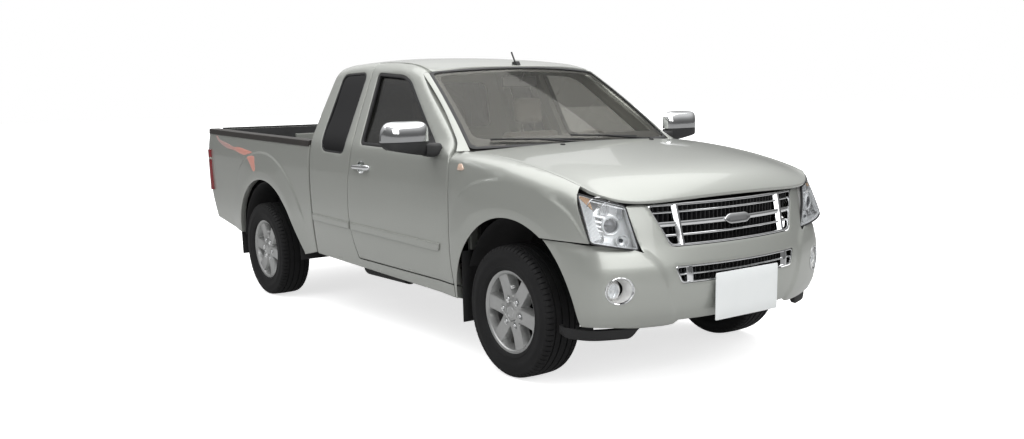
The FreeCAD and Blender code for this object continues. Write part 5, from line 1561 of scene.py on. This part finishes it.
piece("bed_liner_ribs", *together(*ribs), black_plastic, "chassis")


def gate_point(y, z):
    """The tailgate's outer face, with its pressed panel and the dip behind the handle."""
    panel = min(smooth((560 - abs(y)) / 14), smooth((z - 722) / 14), smooth((1034 - z) / 14))
    dip = min(smooth((104 - abs(y)) / 10), smooth((z - 1066) / 10), smooth((1138 - z) / 10))
    return rear_x + 1.5 + 8 * panel + 24 * dip, y, z


across = {*np.linspace(-698, 698, 40), *(s * d for s in (-1, 1) for d in (560, 553, 546, 104, 99, 94))}
upward = {*np.linspace(642, 1200, 18), 722, 729, 736, 1020, 1027, 1034, 1066, 1071, 1076, 1128, 1133, 1138}
gate_lines = [np.array(sorted(across)), np.array(sorted(upward))]
gate_shape = pressed(gate_point, rounded([(-700, 640), (700, 640), (700, 1201), (-700, 1201)], 14), deep=44.0,
                     inward=(1, 0, 0), radius=5.0, grid=30, outward=(-1, 0, 0), lines=gate_lines)
gate_skin = piece("tailgate_skin", *gate_shape, paint, "tailgate")
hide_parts("tailgate")
lever = pressed(lambda y, z: (rear_x + 4, y, z), rounded([(-74, 1086), (74, 1086), (70, 1116), (-70, 1116)], 8),
                deep=20.0, inward=(1, 0, 0), radius=3.0, grid=30, outward=(-1, 0, 0))
piece("tailgate_lever", *lever, black_plastic, "tailgate")
gate_liner = [block((rear_x + 45.6, -692, 700), (rear_x + 50, 692, 1192), 2),
              block((rear_x + 1, -700, 1195), (rear_x + 49, 700, 1206), 4)]
for z in range(740, 1160, 70):
    gate_liner.append(block((rear_x + 48, -640, z), (rear_x + 52, 640, z + 34), 2))
piece("tailgate_liner", *together(*gate_liner), black_plastic, "tailgate")
flutes = {"wave_type": "BANDS", "bands_direction": "Z"}
red_lens = patterned("red_lens", "TexWave", [(0.0, (0.16, 0.006, 0.01)), (1.0, (0.32, 0.02, 0.026))], flutes, coat=1.0,
                     Scale=55.0)
white_lens = patterned("white_lens", "TexWave", [(0.0, (0.6, 0.56, 0.48)), (1.0, (0.82, 0.8, 0.74))], flutes, coat=1.0,
                       Scale=55.0)


def lamp_ring(z, shrink=0.0):
    """The tail lamp's outline at a height, wrapped round the corner post."""
    x = rear_x + 8
    swell = 4 * math.sin(math.pi * max(0.0, min(1.0, (z - 724) / 316)))
    flat = [(x + 60, 712 + shrink), (x + 68, 851 - shrink), (x + 40, 855 - shrink),
            (x - 2 - swell + shrink, 830 - shrink), (x - 4 - swell + shrink, 712 + shrink)]
    return [(a, b, z) for a, b in rounded(flat, 14, 8)]


def lamp_band(low, high):
    """One lens of the tail lamp, rounded at its ends."""
    rings = [lamp_ring(low, 2.0), lamp_ring(low + 2)]
    rings += [lamp_ring(z) for z in np.linspace(low + 12, high - 12, 6)]
    return skin_through(rings + [lamp_ring(high - 2), lamp_ring(high, 2.0)])


lamps = pair("tail_lamp_red", together(lamp_band(724, 964), lamp_band(979, 1040)), red_lens)
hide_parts("tail_lamps")
pair("tail_lamp_white", lamp_band(965, 978), white_lens)
stripe_film, start = blank("stripe_film")
place = start.node("TexCoord", output="Object")
along_x = start.node("SeparateXYZ", Vector=place)
fade = start.node("TexNoise", Vector=place, Scale=5.0, Detail=1.0)
salmon = [(0.0, (0.56, 0.4, 0.38)), (0.45, (0.62, 0.36, 0.32)), (1.0, (0.8, 0.36, 0.29))]
tone = start.node("ValToRGB", {"stops": salmon}, Fac=along_x.above(-2.1, -1.7) * 0.8 + fade * 0.3)
dress(stripe_film, Base_Color=tone, Roughness=0.35, Coat_Weight=0.6)
stripes = []
for run in ([(-2273, 1150), (-2192, 1104), (-2023, 1061), (-1869, 1048), (-1780, 1033), (-1678, 1018), (-1618, 1024),
             (-1520, 1041), (-1583, 1053), (-1772, 1073), (-1879, 1073), (-2015, 1096), (-2188, 1122), (-2231, 1150)],
            [(-1610, 1008), (-1471, 1016), (-1453, 961), (-1440, 920), (-1471, 905), (-1503, 926), (-1534, 953)]):
    stripes.append(pressed(lambda x, z: (x, side_y(x, z) + 0.9, z), joined([run + run[:1]], 1, 12), deep=1.1,
                           inward=(0, -1, 0), radius=0.3, grid=14))
pair("side_stripe", together(*stripes), stripe_film)

# ---------------------------------------------------------------- Splash guards
# Black rubber flaps behind the wheels, moulded liners over them, and air dams under the bumper's ends. The blank
# number plate is screwed to the bumper.

guard_rubber = rubber_finish("guard_rubber", (0.008, 0.008, 0.0085), 0.6, 600)
flap = slab(rounded([(1176.8, 215), (1182.4, 215), (1182.4, 600), (1176.8, 600)], 1, 400), 701, 812, 1.2)
rear_flap = slab(rounded([(-1935, 250), (-1929, 250), (-1929, 600), (-1935, 600)], 1, 400), 640, 806, 1.2)
liner_rows = []
for a in np.radians(np.linspace(16, 158, 40)):
    ring = []
    for radius, y in ((488.5, 406), (494, 406), (494, 771), (491, 774), (488.5, 771)):
        ring.append((front_arch[0] + radius * math.cos(a), y, arch_z + radius * math.sin(a)))
    liner_rows.append(ring)
rear_rows = []
for a in np.radians(np.linspace(-2, 172, 44)):
    rear_rows.append([(rear_arch[0] + radius * math.cos(a), y, axle_z + radius * math.sin(a))
                      for radius, y in ((490, 590), (496, 590), (496, 806), (493, 809), (490, 806))])
dam_end = max(w for w in np.linspace(nose_half, nose_half + 232, 60) if nose_surface(w, 333)[0] > 1990)
dam_path = np.linspace(nose_w(552, 332), dam_end, 40)
dam_rows = []
dam_top = 329.6
for k, w in enumerate(dam_path):
    x, y, z = nose_surface(w, 333)
    ends = smooth(k / 5)
    foot = dam_top - 50 * ends ** 0.5 + 6 * smooth((k - 30) / 9)
    turn = min(1.0, max(0.0, (w - nose_half + 60) / 120))
    dx, dy = -math.cos(turn * math.pi / 2), -math.sin(turn * math.pi / 2)
    x, y = x + 16 * dx, y + 16 * dy
    dam_rows.append([(x + out * dx, y + out * dy, level) for out, level in (
        (0, dam_top), (1, (dam_top + foot) / 2), (6, foot + 3), (12, foot), (34, foot + 2), (40, dam_top))])
guard_shape = together(flap, rear_flap, skin_through(liner_rows), skin_through(rear_rows), skin_through(dam_rows))
guards = pair("splash_guards_front", guard_shape, guard_rubber, sharp=50)
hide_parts("splash_guards")
plate_white = patterned("plate_white", "TexNoise", [(0.2, (0.87, 0.9, 0.9)), (0.8, (0.92, 0.94, 0.94))], roughness=0.35,
                        Scale=6.0, Detail=3.0)
plate_shape = pressed(lambda y, z: (2444.6, y, z), rounded([(-220, 340), (220, 340), (220, 567), (-220, 567)], 8),
                      deep=4.0, inward=(-1, 0, 0), radius=1.2, grid=60, outward=(1, 0, 0))
number_plate = piece("number_plate_blank", *plate_shape, plate_white, "chassis")
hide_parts("number_plate")

# ---------------------------------------------------------------- Cabin
# Two bucket seats and a rear bench in woven grey cloth over foam, sewn in channels. Moulded trim, a cloth
# headliner and carpet line the cab.


def woven_cloth(name, dark, pale, scale=520.0):
    """Plain weave: crossed bands of yarn that rise and fall, with flecks of colour and worn patches."""
    material, start = blank(name)
    place = start.node("TexCoord", output="Object")
    warp = start.node("TexWave", {"bands_direction": "Y"}, Vector=place, Scale=scale, Distortion=0.6)
    weft = start.node("TexWave", {"bands_direction": "Z"}, Vector=place, Scale=scale * 0.8, Distortion=0.6)
    yarn = warp.maths("MAXIMUM", warp, weft)
    fleck = start.node("TexNoise", Vector=place, Scale=260.0, Detail=3.0)
    worn = start.node("TexNoise", Vector=place, Scale=5.0, Detail=3.0)
    tone = start.node("ValToRGB", {"stops": [(0.25, dark), (0.9, pale)]}, Fac=yarn * 0.5 + fleck * 0.35 + worn * 0.2)
    bump = start.node("Bump", Strength=0.4, Distance=0.0006, Height=yarn)
    return dress(material, Base_Color=tone, Roughness=0.85 + worn * 0.1, Normal=bump, Sheen_Weight=0.25)


seat_cloth = woven_cloth("seat_cloth", (0.13, 0.12, 0.11), (0.27, 0.25, 0.23))
trim_cloth = woven_cloth("headliner_cloth", (0.42, 0.4, 0.36), (0.56, 0.53, 0.48), 900)
carpet = woven_cloth("floor_carpet", (0.012, 0.012, 0.012), (0.035, 0.034, 0.033), 700)
trim_plastic = rubber_finish("trim_plastic", (0.075, 0.071, 0.066), 0.5, 1100)
seat_x, seat_z, seat_y = 282.0, 448.4, 380.0


def foam(corners, y0, y1, radius, crown):
    """A pad's foam before it is covered, a little smaller than the finished pad."""
    return slab(inset(wound(rounded(corners, radius), 1), 10), y0 + 10, y1 - 10, crown)


pads = []
x, z = seat_x, seat_z
cushion = foam([(x - 20, z + 110), (x + 500, z + 120), (x + 500, z + 240), (x, z + 220)], -250, 250, 50, 22)
backrest = foam([(x - 30, z + 200), (x + 110, z + 230), (x - 10, z + 760), (x - 110, z + 750)], -240, 240, 50, 26)
headrest = foam([(x - 112, z + 770), (x - 20, z + 770), (x - 40, z + 950), (x - 130, z + 940)], -120, 120, 36, 24)
bench = foam([(-505, z), (-175, z), (-175, z + 300), (-505, z + 280)], -600, 600, 30, 20)
bench_back = foam([(-505, z + 290), (-395, z + 300), (-415, z + 660), (-505, z + 640)], -600, 600, 30, 20)
for name, shape, voxel, reach in (("cushion", cushion, 0.012, 0.022), ("backrest", backrest, 0.012, 0.022),
                                  ("headrest", headrest, 0.009, 0.014), ("bench", bench, 0.016, 0.018),
                                  ("bench_back", bench_back, 0.016, 0.014)):
    pad = piece("seat_" + name, *shape, seat_cloth, "chassis", tidy=False)
    filler = pad.modifiers.new("foam", "REMESH")
    filler.mode = "VOXEL"
    filler.voxel_size = voxel
    pads.append((pad, reach))


def settled(made):
    """Fixes an object's modifiers into its mesh."""
    kept = bpy.data.meshes.new_from_object(made.evaluated_get(bpy.context.evaluated_depsgraph_get()))
    made.modifiers.clear()
    made.data = kept
    made.data.shade_smooth()


for pad, _ in pads:
    settled(pad)
before = [np.array([v.co for v in pad.data.vertices]) for pad, _ in pads]
for pad, _ in pads:
    cover = pad.modifiers.new("cover", "CLOTH")
    cover.settings.quality = 4
    cover.settings.use_pressure = True
    cover.settings.uniform_pressure_force = 4
    cover.settings.effector_weights.gravity = 0
    cover.point_cache.frame_start, cover.point_cache.frame_end = 1, 20
for frame_number in range(1, 21):
    scene.frame_set(frame_number)
for pad, _ in pads:
    settled(pad)
scene.frame_set(1)
for (pad, reach), first in zip(pads, before):
    after = np.array([v.co for v in pad.data.vertices])
    moved = after - first
    far_moved = np.linalg.norm(moved, axis=1, keepdims=True)
    after = first + moved * np.minimum(1.0, reach / np.maximum(far_moved, 1e-9))
    wide = after[:, 1]
    if "bench" in pad.name:
        seams = [0.0, -0.3, 0.3]
    elif "headrest" in pad.name:
        seams = []
    else:
        seams = [-0.135, 0.135]
        bolster = np.clip((np.abs(wide) - 0.15) / 0.06, 0, 1) * 0.016
        facing = np.array([v.normal for v in pad.data.vertices])
        lean = np.array((0, 0, 1.0)) if "cushion" in pad.name else np.array((0.97, 0, 0.24))
        after += lean * (bolster * np.clip(facing @ lean, 0, 1))[:, None]
    normals = np.array([v.normal for v in pad.data.vertices])
    for seam in seams:
        after -= normals * (0.007 * np.exp(-((wide - seam) / 0.007) ** 2))[:, None]
    pad.data.vertices.foreach_set("co", after.ravel())
    pad.modifiers.new("cover", "SUBSURF").levels = 1
    settled(pad)
    if "bench" not in pad.name:
        pad.location.y = -0.001 * seat_y
        twin = bpy.data.objects.new(pad.name + "_driver", pad.data.copy())
        twin.location.y = 0.001 * seat_y
        scene.collection.objects.link(twin)
        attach(twin, "chassis")
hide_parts("seats")
bases = []
for y in (-seat_y, seat_y):
    bases.append(block((seat_x, y - 200, seat_z), (seat_x + 420, y + 200, seat_z + 118), 12))
    for d in (-50, 50):
        foot, top = Vector((seat_x - 70, y + d, seat_z + 700)), Vector((seat_x - 78, y + d, seat_z + 800))
        bases.append(turned([(0, 0), (7, 0), (7, (top - foot).length), (0, (top - foot).length)], foot, top - foot, 16))
piece("seat_bases", *together(*bases), trim_plastic, "chassis")

# Door trims, headliner, inner mirror and the fittings on the dashboard.
door_panel = wound(rounded([(1010, 470), (1030, 1040), (120, 1075), (60, 900), (90, 520), (130, 470)], 50), 1)
panel_shape = pressed(side_depth(60.5), door_panel, deep=9.0, inward=(0, -1, 0), radius=2.5, grid=40)
rest_shape = pressed(side_depth(69), rounded([(250, 760), (800, 790), (820, 850), (240, 830)], 26), deep=46.0,
                     inward=(0, -1, 0), radius=12.0, grid=40)
pocket = pressed(side_depth(69), rounded([(300, 500), (900, 500), (920, 640), (310, 620)], 24), deep=22.0,
                 inward=(0, -1, 0), radius=8.0, grid=40)
pair("door_trim", together(panel_shape, rest_shape, pocket), trim_plastic, door_bodies, sharp=60)


def lining(below=0.0):
    """The underside of the roof, and what hangs a little below it."""
    def point(u, v):
        x, y, z = roof_surface(u, v)
        return x, y, z - 22 - below
    return point


liner_shape = pressed(lining(), rounded([(40, -700), (1050, -700), (1050, 700), (40, 700)], 40), deep=6.0,
                      inward=(0, 0, -1), radius=2.0, grid=60, outward=(0, 0, 1))
piece("headliner", *liner_shape, trim_cloth, "chassis")
visors = []
for way in (-1, 1):
    loop = rounded([(50, way * 120), (200, way * 130), (200, way * 520), (50, way * 500)], 30)
    visors.append(pressed(lining(8), loop, deep=14.0, inward=(0, 0, -1), radius=5.0, grid=60, outward=(0, 0, 1)))
piece("sun_visors", *together(*visors), trim_cloth, "chassis", sharp=60)
inner_mirror = together(slab(rounded([(634, 1452), (650, 1456), (640, 1516), (622, 1512)], 5, 400), -125, 125, 4),
                        turned([(0, 0), (7, 0), (7, 74), (0, 74)], (645, 0, 1490), (0.6, 0, 0.8), 16))
piece("inner_mirror", *inner_mirror, black_plastic, "chassis", sharp=50)
fittings = []
for y in (-600, -90, 90, 330, 470, 610):
    fittings.append(turned([(0, 4), (30, 4), (34, 9), (40, 10), (44, 6), (44, -4), (0, -4)], (836, y, 1012),
                           (-0.97, 0, 0.25), 28))
fittings.append(block((824, -150, 830), (862, 150, 960), 8))
for k in range(3):
    fittings.append(turned([(0, 26), (17, 26), (20, 22), (21, 0), (0, 0)], (830, -80 + 80 * k, 862), (-1, 0, 0), 24))
piece("dashboard_fittings", *together(*fittings), black_plastic, "chassis", sharp=50)
tunnel = slab(rounded([(300, 440), (1080, 440), (1080, 520), (640, 560), (300, 540)], 40), -120, 120, 20)
gear = together(turned([(0, 0), (34, 0), (16, 30), (8, 60), (7, 190), (0, 190)], (700, 0, 548), (-0.12, 0, 1), 24),
                turned([(0, 44), (14, 42), (24, 32), (26, 16), (18, 2), (8, -4), (0, -4)], (676, 0, 738),
                      (-0.12, 0, 1), 24))
piece("floor_console", *together(tunnel, gear), trim_plastic, "chassis", sharp=50)

# ---------------------------------------------------------------- Under the hood
# A pressed inner frame stiffens the hood and is painted with it. A ribbed black plastic cover, with its filler
# cap, closes the top of the engine.


def under_hood(u, v):
    """The hood's surface moved down to the underside of its skin."""
    x, y, z = hood_surface(u, v)
    return x - 7, y, z - 14.4


pockets = []
for way in (-1, 1):
    for near, far in ((50, 330), (370, 660)):
        pockets.append(rounded([(120, way * near), (820, way * near), (800, way * (far - 40)), (150, way * far)], 50))
frame_shape = pressed(under_hood, rounded([(40, -705), (930, -690), (930, 690), (40, 705)], 60), pockets, deep=9.0,
                      inward=(-0.4, 0, -1), radius=3.5, grid=40, outward=(0, 0, 1))
piece("hood_inner_frame", *frame_shape, paint, "hood", sharp=60)
cover = [block((1500, -150, 984), (1980, 150, 1004), 10)]
for y in (-96, -32, 32, 96):
    cover.append(block((1540, y - 16, 1003), (1940, y + 16, 1011), 4))
cover.append(turned([(0, 0), (34, 0), (34, 16), (28, 20), (0, 20)], (1900, -110, 1002), (0, 0, 1), 32))
piece("engine_cover", *together(*cover), black_plastic, "chassis", sharp=50)

# ---------------------------------------------------------------- Spare wheel
# A full-size tyre on a pressed steel wheel, painted dark grey. It hangs flat under the bed from its winch.
# It shows only from below and from behind.

spare_x, spare_z = -1895.0, 400.0
spare_tyre = piece("spare_tyre", *tyre_shape((spare_x, 0, spare_z), (0, 0, 1)), tyre_rubber, "chassis", sharp=30)
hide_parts("spare_wheel")
steel_wheel = [(24, -38), (60, -38), (70, -52), (120, -60), (150, -42), (186, -40), (196, -60), (206, -88), (213, -89),
               (217, -84), (212, -78), (203, -60), (200, 20), (203, 60), (216, 84), (212, 89), (205, 86), (196, 60),
               (192, 0), (186, -34), (150, -36), (120, -54), (70, -46), (60, -30), (24, -30)]
disc_shape = turned(steel_wheel, (spare_x, 0, spare_z), (0, 0, 1), 64, True)
winch = turned([(0, -46), (30, -46), (30, 107), (0, 107)], (spare_x, 0, spare_z), (0, 0, 1), 32)
spare_steel = metal_finish("spare_steel", (0.12, 0.12, 0.12), 0.4, 30, 0.7)
piece("spare_steel_wheel", *together(disc_shape, winch), spare_steel, "chassis")

# ---------------------------------------------------------------- Plain parts
# The frame, axles, springs, exhaust and other parts whose CAD shape is kept get their finish here, by slot. A table
# lists the slot that each new finish belongs to, and the box round all that is shown is measured.

lamp_lens, start = blank("lamp_lens")
dress(lamp_lens, Base_Color=(0.7, 0.72, 0.72, 1), Roughness=0.08, Metallic=0.5)
steel_black = rubber_finish("chassis_black", (0.02, 0.02, 0.02), 0.6)
finishes = {"painted": paint, "glass": door_glass, "dark_glass": dark_glass, "chrome": chrome, "lamp_lens": lamp_lens,
            "red_lens": red_lens, "black_plastic": black_plastic, "interior": trim_plastic, "seat_cloth": seat_cloth,
            "plate": plate_white, "alloy": alloy, "tyre": tyre_rubber, "spare": tyre_rubber, "frame_steel": steel_black,
            "exhaust_steel": steel_black, "cast": steel_black, "radiator_metal": steel_black}
for name, node in nodes.items():
    for s in node.material_slots:
        for slot_name, finish in finishes.items():
            if s.material and s.material.name.split(".")[0] == slot_name:
                s.material = finish
                break
nodes["cab_floor"].material_slots[0].material = carpet
slots = {"painted": (paint, stripe_film), "glass": (clear_glass, door_glass), "dark_glass": (dark_glass,),
         "red_lens": (red_lens,), "chrome": (chrome, reflector_metal, smoked_metal), "alloy": (alloy,),
         "cast": (brake_iron,), "tyre": (tyre_rubber,), "plate": (plate_white,), "seat_cloth": (seat_cloth,),
         "lamp_lens": (clear_lens, projector_glass, amber_lens, repeater_lens, white_lens),
         "black_plastic": (shadow_black, seal_rubber, black_plastic, rail_plastic, guard_rubber),
         "interior": (trim_cloth, carpet, trim_plastic)}
for slot_name, looks in slots.items():
    for made in scene.objects:
        made.type == "MESH" and made.name not in nodes and made.data.materials and made.data.materials[0] in looks
low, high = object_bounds()
